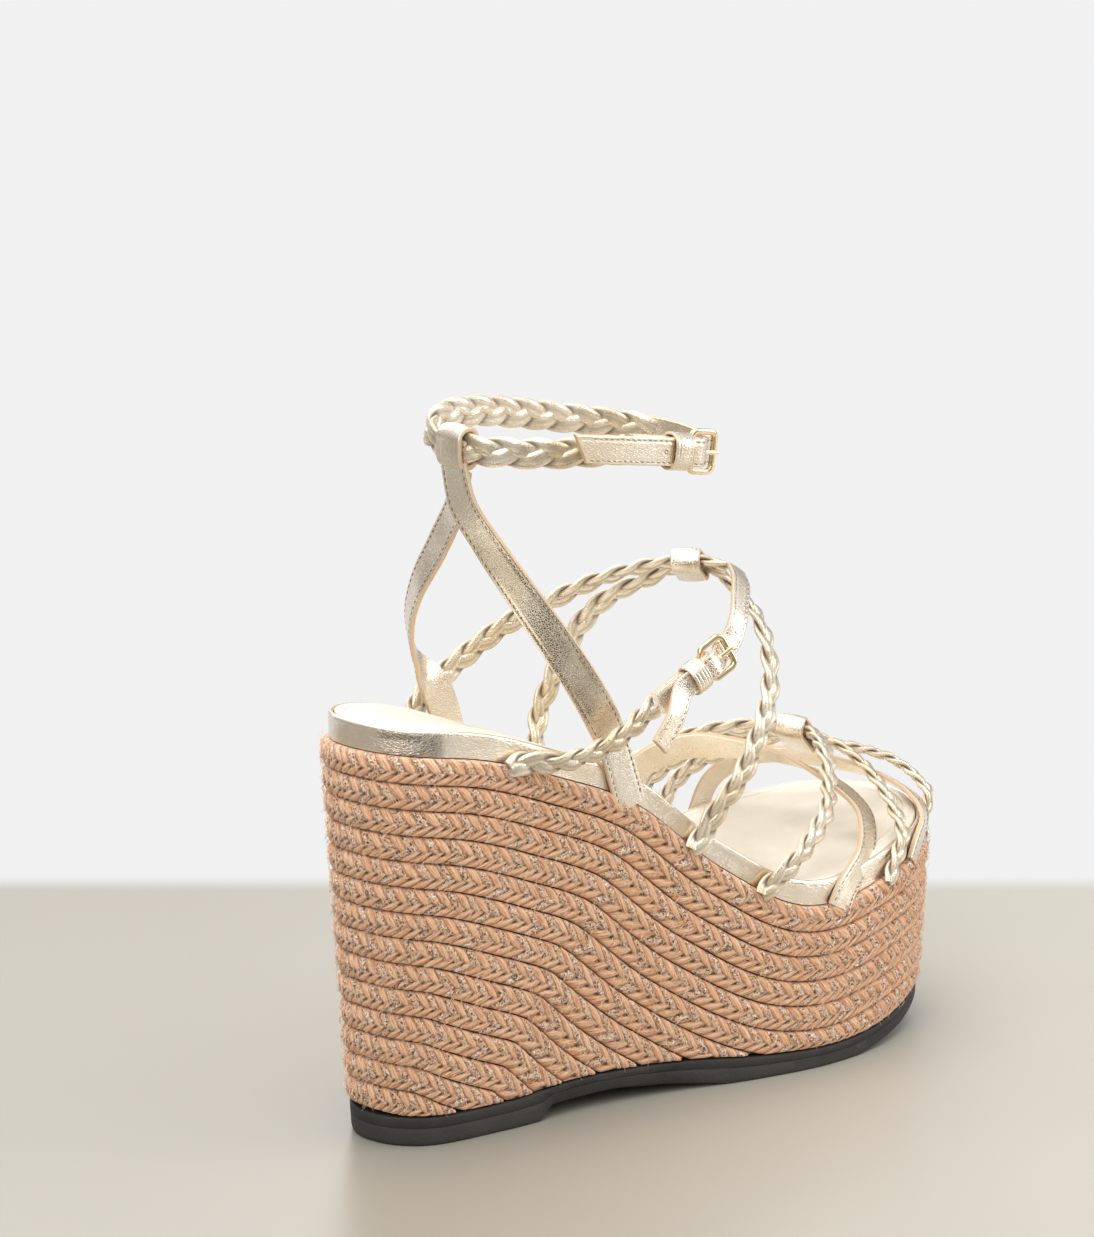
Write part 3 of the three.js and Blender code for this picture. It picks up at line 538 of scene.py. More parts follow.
def jute_row(row, rim):
    """One turn of tape: a rounded-rectangle section swept round the wall, its outer face carved by
    the braid. Turns that meet the outsole run out there."""
    high = wrap_line(rim, row * TAPE_PITCH + (GAP if row else 0))
    full_low = wrap_line(rim, (row + 1) * TAPE_PITCH)
    floor = height_curve(SOLE_TOP_HEIGHTS, rim.at[:, 0]) + GAP
    low = np.maximum(full_low, floor)
    angle = np.linspace(-np.pi / 2, np.pi / 2, JUTE_SECTION)
    level = np.sign(np.sin(angle)) * np.abs(np.sin(angle))**0.8
    out = np.abs(np.cos(angle))**0.45
    centre, half = (high + low) / 2, (high - low) / 2
    z = centre[:, None] + half[:, None] * level[None, :]
    v = 2 * (z - full_low[:, None]) / (high - full_low)[:, None] - 1
    relief, strand, upper, lower, shows_upper = braid(rim.run[:, None] + np.zeros_like(z), v, 1.7 * row)
    rough = FIBRE_RELIEF * np.sin(29 * np.where(shows_upper, upper, lower) + 3 * v) * out
    proud = ROW_LIFT - STRAND_RELIEF * (1 - relief) + rough
    inset = TAPE_THICKNESS * (1 - out[None, :]) - proud * out[None, :]
    rings = np.stack([rim.wall(z[:, j], inset[:, j]) for j in range(JUTE_SECTION)], 1)
    marks = np.stack([upper, lower, v], -1)
    lie = shows_upper.astype(float)
    keep = high - floor > ROW_RUN_OUT
    closed = bool(keep.all())
    if not closed:
        first = np.flatnonzero(keep & ~np.roll(keep, 1))[0]
        order = (np.arange(keep.sum()) + first) % len(keep)
        rings, marks, relief = rings[order], marks[order], relief[order]
        strand, lie = strand[order], lie[order]
    faces = list(quads(*rings.shape[:2], True)) if closed else capped(rings)
    cycle = np.where(lie > 0.5, LUREX_UPPER, LUREX_LOWER)
    glitter = (np.mod(strand + row, cycle) == 1).astype(float)
    return rings, faces, {"weave": marks, "lie": lie, "relief": relief, "glitter": glitter}


def jute_material():
    """Natural jute: combed fibres along each strand, with painted shade that turns it brown where strands
    dive and darkest along the braid's middle, and gold and silver lurex, sparkling with painted glints,
    where `glitter` is one."""
    material, add, output = new_material("jute_braid")
    weave = add("Attribute", attribute_name="weave").outputs["Vector"]
    lie = add("Attribute", attribute_name="lie").outputs["Fac"]
    relief = add("Attribute", attribute_name="relief").outputs["Fac"]
    glitter = add("Attribute", attribute_name="glitter").outputs["Fac"]
    place = add("TexCoord").outputs["Object"]
    parts = add("SeparateXYZ", {"Vector": weave}).outputs
    over = add("MapRange", {"Value": lie, "From Min": 0.45, "From Max": 0.55}).outputs["Result"]
    across = add("Mix", {0: over, 2: parts["Y"], 3: parts["X"]}, data_type="FLOAT").outputs[0]
    combed = add("CombineXYZ", {"X": across, "Y": parts["Z"], "Z": over}).outputs["Vector"]
    hairs = add("Mapping", {"Vector": combed, "Rotation": (0, 0, 0.16), "Scale": (6.5, 0.8, 9)})
    fibres = add("TexNoise", {"Vector": hairs.outputs["Vector"], "Scale": 1, "Detail": 6,
                              "Roughness": 0.85}).outputs["Fac"]
    number = add("Math", {0: across}, operation="FLOOR").outputs[0]
    tone = add("TexWhiteNoise", {"W": number}, noise_dimensions="1D").outputs["Value"]
    cloud = add("TexNoise", {"Vector": place, "Scale": 45, "Detail": 3}).outputs["Fac"]
    fine = add("TexNoise", {"Vector": place, "Scale": 1500, "Detail": 3}).outputs["Fac"]
    straw = ramp(add, fibres, (0.38, (0.24, 0.08, 0.03)), (0.44, (0.78, 0.38, 0.19)),
                 (0.50, (0.93, 0.55, 0.33)), (0.58, (1.0, 0.81, 0.60)))
    toned = mix(add, add("Math", {0: tone, 1: 0.25}, operation="MULTIPLY").outputs[0],
                straw, (0.92, 0.50, 0.31, 1))
    aged = mix(add, add("Math", {0: cloud, 1: 0.15}, operation="MULTIPLY").outputs[0],
               toned, (0.76, 0.40, 0.22, 1))
    # Painted shade: brown in the hollows between strands, where the relief is low, and darkest along the
    # braid's middle, where upper and lower strands meet.
    level = add("Math", {0: parts["Z"], 1: 0.1}, operation="ADD").outputs[0]
    away = add("Math", {0: level}, operation="ABSOLUTE").outputs[0]
    side = add("MapRange", {"Value": away, "From Min": 0.15, "From Max": 0.4}).outputs["Result"]
    hollow_shade = mix(add, side, (0.09, 0.03, 0.012, 1), (0.46, 0.21, 0.10, 1))
    raised = add("Math", {0: side, 1: 0.3, 2: relief}, operation="MULTIPLY_ADD").outputs[0]
    depth = add("MapRange", {"Value": raised, "From Min": 0.36, "From Max": 0.82}).outputs["Result"]
    jute = mix(add, depth, hollow_shade, aged)
    # Partly painted glints: each lurex fleck takes a random colour from dark brown through gold to near
    # white, real gold and silver with painted glints and dark gaps.
    sparks = add("TexVoronoi", {"Vector": place, "Scale": 1700}, feature="F1")
    glint_and_tone = add("SeparateXYZ", {"Vector": sparks.outputs["Color"]}).outputs["X"]
    foil = ramp(add, glint_and_tone, (0.2, (0.13, 0.075, 0.05)), (0.42, (0.50, 0.36, 0.25)),
                (0.66, (0.80, 0.66, 0.52)), (0.85, (1.0, 0.96, 0.90)))
    thread = add("MapRange", {"Value": fine, "From Min": 0.45, "From Max": 0.55})
    shiny = add("Math", {0: glitter, 1: thread.outputs["Result"]}, operation="MULTIPLY").outputs[0]
    colour = mix(add, shiny, jute, foil)
    metal = add("Math", {0: shiny, 1: 0.7}, operation="MULTIPLY").outputs[0]
    rough = add("MapRange", {"Value": shiny, "To Min": 0.95, "To Max": 0.35}).outputs["Result"]
    bristle = add("Math", {0: fibres, 1: fine}, operation="ADD").outputs[0]
    bump = add("Bump", {"Height": bristle, "Strength": 0.8, "Distance": 0.0006})
    return finish_material(material, add, output, bump.outputs["Normal"],
                           Base_Color=colour, Metallic=metal, Roughness=rough, Sheen_Weight=0.15)


jute = jute_material()
jute_rim = Rim(1400)
for row in range(ROWS):
    rings, faces, fields = jute_row(row, jute_rim)
    new_piece(f"jute_turn_{row + 1:02d}", rings, faces, jute, node=f"jute_row_{row + 1:02d}",
              slot="jute", **fields)


def jute_fuzz(rim):
    """Loose fibres on the jute, one per wall station and pass: thin three-sided hairs that follow
    the strand they left and lift off it by up to a millimetre. Seeded, so always the same."""
    chance = np.random.default_rng(7)
    count = len(rim.run)
    lines = np.stack([wrap_line(rim, drop * TAPE_PITCH) for drop in range(ROWS + 1)])
    floor = height_curve(SOLE_TOP_HEIGHTS, rim.at[:, 0])
    tangent = unit(np.roll(rim.at, -1, 0) - np.roll(rim.at, 1, 0))
    tangent = np.column_stack([tangent[:, :2], np.zeros(count)])
    outward = np.column_stack([-rim.inward[:, :2], np.zeros(count)])
    around = np.arange(3) * 2 * np.pi / 3
    hairs = []
    for _ in range(FUZZ_PASSES):
        row = chance.integers(0, ROWS, count)
        v = chance.uniform(-0.8, 0.8, count)
        high, low = lines[row, np.arange(count)], lines[row + 1, np.arange(count)]
        z = (high + low) / 2 + (high - low) / 2 * v
        start = rim.wall(z, -ROW_LIFT + 0.9 * v**4)
        lean = np.where(v > -0.1, -UPPER_SLANT, LOWER_SLANT) * chance.normal(1, 0.4, count)
        way = unit(tangent * lean[:, None] + np.array([0, 0, 1.0]) * (high - low)[:, None] / 2)
        way *= np.sign(chance.uniform(-1, 1, count))[:, None]
        reach = way * chance.uniform(*FUZZ_REACH, count)[:, None]
        lift = outward * chance.uniform(*FUZZ_LIFT, count)[:, None]
        path = np.stack([start - outward * 0.3, start + reach * 0.5 + lift * 0.7,
                         start + reach + lift * chance.uniform(-0.6, 1, count)[:, None]], 1)
        ring = path[:, :, None] + FUZZ_RADII[None, :, None, None] * (
            np.cos(around)[None, None, :, None] * outward[:, None, None]
            + np.sin(around)[None, None, :, None] * np.cross(way, outward)[:, None, None])
        hairs.append(ring[z > floor + 2.5])
    hairs = np.concatenate(hairs)
    size = FUZZ_RADII.size * 3
    sides = copies(quads(FUZZ_RADII.size, 3, False), len(hairs), size)
    return hairs, [*sides, *copies([(0, 2, 1), (6, 7, 8)], len(hairs), size)]


straw_hair = grained_material(
    "jute_hairs", 900, 0.9, ((0.35, (0.72, 0.42, 0.26)), (0.65, (0.95, 0.74, 0.56))), detail=2)
hairs, faces = jute_fuzz(jute_rim)
new_piece("jute_fuzz", hairs, faces, straw_hair, slot="jute")

# ------------------------------------------------------------------------------- leather rand
# A strip of champagne metallic leather glued round the edge of the footbed. Its top edge is cut
# raw and painted peach, and its foot is caught behind the first turn of jute.
RAND_HEIGHT = 8.0
RAND_INSET = 2.5
RAND_THICKNESS = 1.4
CHAMPAGNE = ((0.79, 0.67, 0.52), (0.93, 0.86, 0.76))
PEACH = (0.70, 0.50, 0.32, 1)


def leather_grain():
    """Node group: the fine crinkle of foiled leather. Height is creases between small cells with
    soft waves under them, Tone a slow change of shade, and Rough follows the creases."""
    group = bpy.data.node_groups.new("leather_grain", "ShaderNodeTree")
    for name, kind in (("Vector", "Vector"), ("Cell", "Float"), ("Wave", "Float")):
        group.interface.new_socket(name, in_out="INPUT", socket_type="NodeSocket" + kind)
    for name in ("Height", "Tone", "Rough"):
        group.interface.new_socket(name, in_out="OUTPUT", socket_type="NodeSocketFloat")
    add = node_maker(group)
    given = group.nodes.new("NodeGroupInput")
    put = group.nodes.new("NodeGroupOutput")
    warp = add("TexNoise", {"Vector": given.outputs["Vector"], "Scale": 700.0, "Detail": 2.0})
    moved = add("VectorMath", {0: warp.outputs["Color"], 1: (0.0006,) * 3}, operation="MULTIPLY")
    bent = add("VectorMath", {0: given.outputs["Vector"], 1: moved.outputs[0]}, operation="ADD")
    cells = add("TexVoronoi", {"Vector": bent.outputs[0], "Scale": given.outputs["Cell"]},
                feature="DISTANCE_TO_EDGE")
    crease = add("MapRange", {"Value": cells.outputs["Distance"], "From Max": 0.12},
                 interpolation_type="SMOOTHSTEP").outputs["Result"]
    waves = add("TexNoise", {"Vector": given.outputs["Vector"], "Scale": given.outputs["Wave"],
                             "Detail": 3.0}).outputs["Fac"]
    height = add("Math", {0: waves, 1: 1.6, 2: crease}, operation="MULTIPLY_ADD").outputs[0]
    tone = add("TexNoise", {"Vector": given.outputs["Vector"], "Scale": 55.0, "Detail": 4.0})
    rough = add("MapRange", {"Value": crease, "To Min": 0.07, "To Max": 0.0}).outputs["Result"]
    for name, socket in (("Height", height), ("Tone", tone.outputs["Fac"]), ("Rough", rough)):
        group.links.new(socket, put.inputs[name])
    return group


GRAIN = leather_grain()


def leather_material(name, cell, wave, relief, gloss, metal=0.97, shades=CHAMPAGNE):
    """Metallic leather. Where the piece's `edge` is one, it is a raw edge under peach paint; where
    its `pit` is one, it is painted shade, dark brown and without metal."""
    material, add, output = new_material(name)
    place = add("TexCoord").outputs["Object"]
    grain = add("Group", {}, node_tree=GRAIN)
    for key, value in (("Cell", cell), ("Wave", wave)):
        grain.inputs[key].default_value = value
    material.node_tree.links.new(place, grain.inputs["Vector"])
    edge = add("Attribute", attribute_name="edge").outputs["Fac"]
    pit = add("Attribute", attribute_name="pit").outputs["Fac"]
    foil = ramp(add, grain.outputs["Tone"], (0.3, shades[0]), (0.62, shades[1]))
    rubbed = add("MapRange", {"Value": grain.outputs["Rough"], "From Max": 0.12, "To Max": 0.16})
    worn = mix(add, rubbed.outputs["Result"], foil, (0.52, 0.38, 0.22, 1))
    painted = mix(add, edge, worn, PEACH)
    # Painted shade: the plaits' hollows and creases turn dark brown here, without metal.
    colour = mix(add, pit, painted, (0.06, 0.03, 0.015, 1))
    dull = add("Math", {0: edge, 1: pit}, operation="MAXIMUM").outputs[0]
    metallic = add("MapRange", {"Value": dull, "To Min": metal, "To Max": 0.0}).outputs["Result"]
    base = add("MapRange", {"Value": dull, "To Min": gloss, "To Max": 0.55}).outputs["Result"]
    rough = add("Math", {0: base, 1: grain.outputs["Rough"]}, operation="ADD").outputs[0]
    bump = add("Bump", {"Height": grain.outputs["Height"], "Strength": relief, "Distance": 0.00012})
    return finish_material(material, add, output, bump.outputs["Normal"],
                           Base_Color=colour, Metallic=metallic, Roughness=rough)


smooth_leather = leather_material("smooth_metallic_leather", 1500.0, 260.0, 0.35, 0.2)


def rand_loops(rim):
    """Loops of the rand's section, from its inner foot over its rolled top edge to its outer foot."""
    outer, inner = RAND_INSET, RAND_INSET + RAND_THICKNESS
    sag = 0.25 * np.sin(rim.run / 17) + 0.15 * np.sin(rim.run / 7.3)
    shape = [
        (GAP, inner), (RAND_HEIGHT - 0.6, inner), (RAND_HEIGHT - 0.1, inner - 0.2),
        (RAND_HEIGHT + 0.1, inner - 0.7), (RAND_HEIGHT - 0.1, outer + 0.25), (RAND_HEIGHT - 0.6, outer),
        (RAND_HEIGHT * 0.75, outer - 0.05), (RAND_HEIGHT * 0.5, outer), (RAND_HEIGHT * 0.25, outer),
        (GAP, outer),
    ]
    edges = [0.4, 1, 0.5, 0, 0, 0, 0, 0, 0, 0]
    loops = [rim.wall(rim.top + up, inset + sag * (0.3 < up / RAND_HEIGHT < 0.8)) for up, inset in shape]
    return np.stack(loops, 1), np.tile(edges, (len(rim.run), 1))


rings, edge = rand_loops(rim)
new_piece("rand_strip", rings, quads(*rings.shape[:2], True), smooth_leather, node="rand", edge=edge)

# --------------------------------------------------------------------------- footbed and sock
# A thin foam pad glued on the board, then a soft leather sock over it. The sock's edge is turned
# down against the rand, and a line is pressed into it a few millimetres from the edge.
PAD_BASE = 3.1
PAD_THICKNESS = 3.6
SOCK_BASE = 7.05
SOCK_THICKNESS = 1.2
SOCK_INSET = RAND_INSET + RAND_THICKNESS + GAP
SOCK_LINE = 4.2        # from the sock's edge to the pressed line
SOCK_DISH = 0.8
PAD_DISH = 0.4


def edge_distance(deck):
    """Distance from each deck point to the nearer long edge or to the toe or heel end."""
    across = np.linalg.norm(deck[:, -1:] - deck[:, :1], axis=2)
    share = np.linspace(0, 1, deck.shape[1])[None, :]
    ends = np.minimum(deck[..., 0] - deck[0, 0, 0], deck[-1, 0, 0] - deck[..., 0])
    return np.minimum(across * np.minimum(share, 1 - share), np.maximum(ends, 0))


def pad_crown(deck, upper):
    """The foam's upper face sinks a little towards its middle and rounds down at its edge."""
    out = deck.copy()
    if upper:
        away = edge_distance(deck)
        out[..., 2] -= PAD_DISH * smoothstep(4, 20, away)
    return out


def sock_crown(deck, upper):
    """The sock follows the foam, with a pressed line along its edge."""
    out = deck.copy()
    if upper:
        away = edge_distance(deck)
        out[..., 2] += 0.35 * smoothstep(0, 2.5, away) - SOCK_DISH * smoothstep(5, 22, away)
        out[..., 2] -= 0.32 * np.exp(-((away - SOCK_LINE) / 0.45)**2)
    return out


def slab_loops(rim, inset, base, thickness, rounding):
    """Side loops of a thin slab, with a rounded upper edge."""
    return [rim.wall(rim.top + base + thickness * share, inset + rounding * more)
            for share, more in ((1, 1), (0.9, 0.35), (0.7, 0), (0.1, 0), (0, 0.3))]


foot_rim = Rim(480)
points, faces = plate(
    foot_rim, slab_loops(foot_rim, SOCK_INSET, PAD_BASE, PAD_THICKNESS, 0.8), 40, pad_crown)
foam = grained_material(
    "latex_foam", 1300, 0.95, ((0.1, (0.62, 0.53, 0.39)), (0.6, (0.84, 0.77, 0.62))), bump=(0.5, 0.0003))
pad = new_piece("footbed_foam", points, faces, foam, node="footbed_pad", slot="foam")

sock_leather = leather_material("sock_leather", 1500.0, 120.0, 0.16, 0.42, metal=0.3,
                                shades=((0.78, 0.72, 0.60), (0.87, 0.82, 0.72)))
points, faces = plate(
    foot_rim, slab_loops(foot_rim, SOCK_INSET, SOCK_BASE, SOCK_THICKNESS, 0.7), 120, sock_crown)
new_piece("leather_sock", points, faces, sock_leather, node="sock_lining")

# -------------------------------------------------------------------------------- flat straps
# Straps of foiled leather, two layers glued back to back. Their long edges are painted peach and
# sewn with a fine lockstitch, and their ends are glued between the jute and the rand.
OUTER, INNER = -1, 1
FLAT_SEAT = RAND_INSET - GAP - 0.95
STITCH = 2.1           # length of one stitch and its gap
STITCH_MARGIN = 1.25   # from the strap's edge to the line of stitches
STITCH_SINK = 0.12     # how far the thread's middle lies under the face
SEATING = Rim(600)
ANKLE_AXIS = (np.array([92.0, 0, 0]), np.array([0, 0, 1.0]))
FOOT_AXIS = (np.array([120.0, 0, 105]), np.array([0.84, 0, -0.54]))


def at(x, y, z, face=None):
    """A stop on a strap's route, with the way that its outer face looks where that is given."""
    return np.array([x, y, z], float), face


def seat(side, x, up, inset):
    """A stop on the ledge outside the rand, `up` above the jute, on the outer or inner side."""
    away = np.where(SEATING.at[:, 1] * side > 0, np.abs(SEATING.at[:, 0] - x), np.inf)
    i = int(np.argmin(away))
    inward = SEATING.inward[i]
    flat = SEATING.at[i] + inward * inset
    return np.array([*flat, SEATING.top[i] + up]), (-inward[0], -inward[1], 0)


def follow(stops, step, axis=FOOT_AXIS):
    """Even places along the smooth route through the stops: middle, tangent, face and side
    directions and distance. A face between two stops blends theirs; with none given it looks
    straight away from the axis."""
    places = np.array([p for p, _ in stops])
    start, along = axis
    along = unit(along)
    offset = places - start
    looks = unit(offset - (offset @ along)[:, None] * along)
    faces = np.array([looks[i] if f is None else unit(f) for i, (_, f) in enumerate(stops)])
    _, length = even_steps(places, 2)
    count = max(int(round(length / step)), 8) + 1
    t, _ = even_steps(places, count)
    middle = spline(places, t)
    tangent = unit(np.gradient(middle, axis=0))
    k = np.minimum(t.astype(int), len(places) - 2)
    face = faces[k] + (faces[k + 1] - faces[k]) * (t - k)[:, None]
    face = unit(face - np.sum(face * tangent, 1)[:, None] * tangent)
    return middle, tangent, face, np.cross(tangent, face), np.linspace(0, length, count)


def band_section(width, thickness):
    """Corner-rounded section of a strap as (across, out) points, whether each is on a raw edge, and
    its place across from -1 to 1. The upper face swells and dips along both lines of stitches."""
    v = np.linspace(-1, 1, 25)
    dip = np.exp(-((np.abs(v) * width / 2 - (width / 2 - STITCH_MARGIN)) / 0.3)**2)
    top = thickness / 2 * (1 - 0.22 * np.abs(v)**6) - 0.16 * dip
    half = width / 2
    upper = np.column_stack([v * (half - 0.25), top])
    right = [(half - 0.05, thickness * 0.28), (half, 0), (half - 0.05, -thickness * 0.28)]
    under = np.column_stack([np.linspace(half - 0.25, 0.25 - half, 9), np.full(9, -thickness / 2)])
    left = [(-half + 0.05, -thickness * 0.28), (-half, 0), (-half + 0.05, thickness * 0.28)]
    points = np.vstack([upper, right, under, left])
    edge = np.r_[np.zeros(25), np.ones(3), np.zeros(9), np.ones(3)]
    return points, edge


def sweep(stops, points, step, axis):
    """Rings of section points (across, out) carried along a route, and the route itself."""
    route = follow(stops, step, axis)
    middle, _, face, side, _ = route
    rings = middle[:, None] - side[:, None] * points[None, :, :1] + face[:, None] * points[None, :, 1:]
    return rings, route


def at_places(places, run, rows):
    """A route's points or directions, interpolated at places along it."""
    return np.column_stack([np.interp(places, run, column) for column in rows.T])


def stitching(name, route, width, height, margin=STITCH_MARGIN, skip=0.0):
    """Rows of stitches along both edges of a strap: each is a short lozenge of thread, six sided,
    laid slightly askew on the face at `height`."""
    middle, tangent, face, side, run = route
    places = np.arange(skip + STITCH, run[-1] - skip - STITCH, STITCH)
    p = at_places(places, run, middle)
    t, f, s = (unit(at_places(places, run, rows)) for rows in (tangent, face, side))
    around = np.linspace(0, 2 * np.pi, 6, endpoint=False)
    stations = np.array([(-0.62, 0.06), (-0.45, 0.17), (0.45, 0.17), (0.62, 0.06)])
    rings = []
    for sign in (-1, 1):
        base = p + s * sign * (width / 2 - margin) + f * height
        axis = unit(t + 0.18 * s)
        wide = np.cross(axis, f)
        for shift, radius in stations:
            rings.append((base + axis * shift)[:, None] + radius * (
                np.cos(around)[None, :, None] * wide[:, None]
                + 0.8 * np.sin(around)[None, :, None] * f[:, None]))
    rings = np.stack(rings, 1)
    count = 2 * len(places)
    ends = copies([np.arange(6), np.arange(18, 24)], count, 24)
    new_piece(name, rings, [*copies(quads(4, 6, False), count, 24), *ends], thread)


# Each ring's middle, the way the plaits run through it, the way its face looks, the width and
# height of its opening, the thickness of its wall and its length.
RINGS = {
    "heel_tab": ((45.6, 0, 204), (0, 1, 0), (-1, 0, 0), 9.8, 5.2, 1.6, 10.4),
    "instep_ring": ((135.4, -3, 155.7), (0.6, -0.8, 0.05), (0.54, -0.06, 0.84), 15.8, 4.8, 1.2, 9.0),
    "vamp_ring": ((191.4, 8, 91.4), (0.5, -0.86, -0.08), (0.5, 0.12, 0.86), 20.2, 4.8, 1.2, 9.0),
}


def own_axes(along, out):
    """A piece's own X, Y and Z directions: X along, Z out."""
    x = unit(along)
    z = unit(np.asarray(out, float) - np.dot(out, x) * x)
    return x, np.cross(z, x), z


def within(ring, across, forward):
    """A stop inside a leather ring, `across` from its middle towards the heel."""
    place, along, out = RINGS[ring][:3]
    x, y, z = own_axes(along, out)
    return np.array(place) - y * across + x * forward, z


LEG_WIDTH = 10.8
STRAP_THICKNESS = 1.6
STRAP_STEP = 1.2
# Each strap's width, the axis it wraps round and the stops on its route.
FLAT_ROUTES = {
    "heel_strap_outer": (LEG_WIDTH, ANKLE_AXIS, [
        at(43.6, -0.4, 199, (-1, 0, 0)), at(44.9, -3, 187, (-1, -0.1, 0.1)), at(50.2, -6.5, 176),
        at(57.6, -14, 160.5), at(66.6, -21, 143.5), at(74.6, -26, 128), seat(OUTER, 81, 16, 2),
        seat(OUTER, 84.6, 6, FLAT_SEAT), seat(OUTER, 86.6, -1.5, FLAT_SEAT),
    ]),
    "heel_strap_inner": (LEG_WIDTH, ANKLE_AXIS, [
        at(46.6, 0.5, 198, (-1, 0, 0)), at(49.2, 5.2, 186, (-1, 0.3, 0)), at(48.6, 13, 172),
        at(47.6, 21.6, 158), at(48.4, 26, 147), at(53, 28.4, 134), seat(INNER, 60, 17, 1.2),
        seat(INNER, 64.6, 6, FLAT_SEAT), seat(INNER, 66, -1.5, FLAT_SEAT),
    ]),
    "vamp_strap": (9.5, FOOT_AXIS, [
        seat(OUTER, 161.5, -1.5, FLAT_SEAT), seat(OUTER, 165, 3, FLAT_SEAT), at(176, -37.8, 62.8),
        at(184, -31.6, 68.4), at(188.6, -24.8, 73.4), at(189, -16, 78.2), at(184.6, -6, 83.4),
        at(179, 3, 87), at(172.6, 10, 89), at(167, 16.4, 89.8), at(159.6, 23, 90),
        at(151.6, 29.4, 87), at(143, 35.6, 79.5), at(135.6, 39.2, 71.2), seat(INNER, 129.4, 5, FLAT_SEAT),
        seat(INNER, 127, -1.5, FLAT_SEAT),
    ]),
    "toe_strap": (7.4, FOOT_AXIS, [
        seat(OUTER, 202, -1.5, FLAT_SEAT), seat(OUTER, 206, 2.4, FLAT_SEAT),
        seat(OUTER, 213, 6.4, FLAT_SEAT), at(219.4, -18.6, 69.2), at(221, -8, 72.6),
        at(218.6, 4, 75.2), at(211, 16, 78), at(202, 27, 79.4), at(194.6, 37, 77),
        at(188, 43.4, 70.4), seat(INNER, 183, 5, FLAT_SEAT), seat(INNER, 181, -1.5, FLAT_SEAT),
    ]),
}

thread = grained_material(
    "waxed_thread", 2600, 0.6, ((0.35, (0.13, 0.075, 0.035)), (0.7, (0.34, 0.23, 0.12))), detail=2)
strap_leather = leather_material("crinkled_metallic_leather", 1400.0, 420.0, 0.3, 0.24)
for node, (width, axis, stops) in FLAT_ROUTES.items():
    points, edge = band_section(width, STRAP_THICKNESS)
    rings, route = sweep(stops, points, STRAP_STEP, axis)
    new_piece(node + "_leather", rings, capped(rings), strap_leather, node=node,
              edge=np.tile(edge, (len(rings), 1)))
    stitching(node + "_stitches", route, width, STRAP_THICKNESS / 2 - STITCH_SINK)

# ------------------------------------------------------------------------------------- plaits
# Three-strand plaits. Each strand is a pair of narrow leather laces laid side by side, so a soft
# crease runs down its middle. The ends are glued at the rim or sewn under a strap.
PLAIT_SEAT = RAND_INSET - GAP - 1.6
PLAIT_STEP = 0.8
TURN = 3.5             # a strand's full swing, in plait widths
CREASE_SHADE = 0.35    # how dark the painted shade is along the line between two laces, and in the hollow between strands
CREVICE_SHADE = 0.85
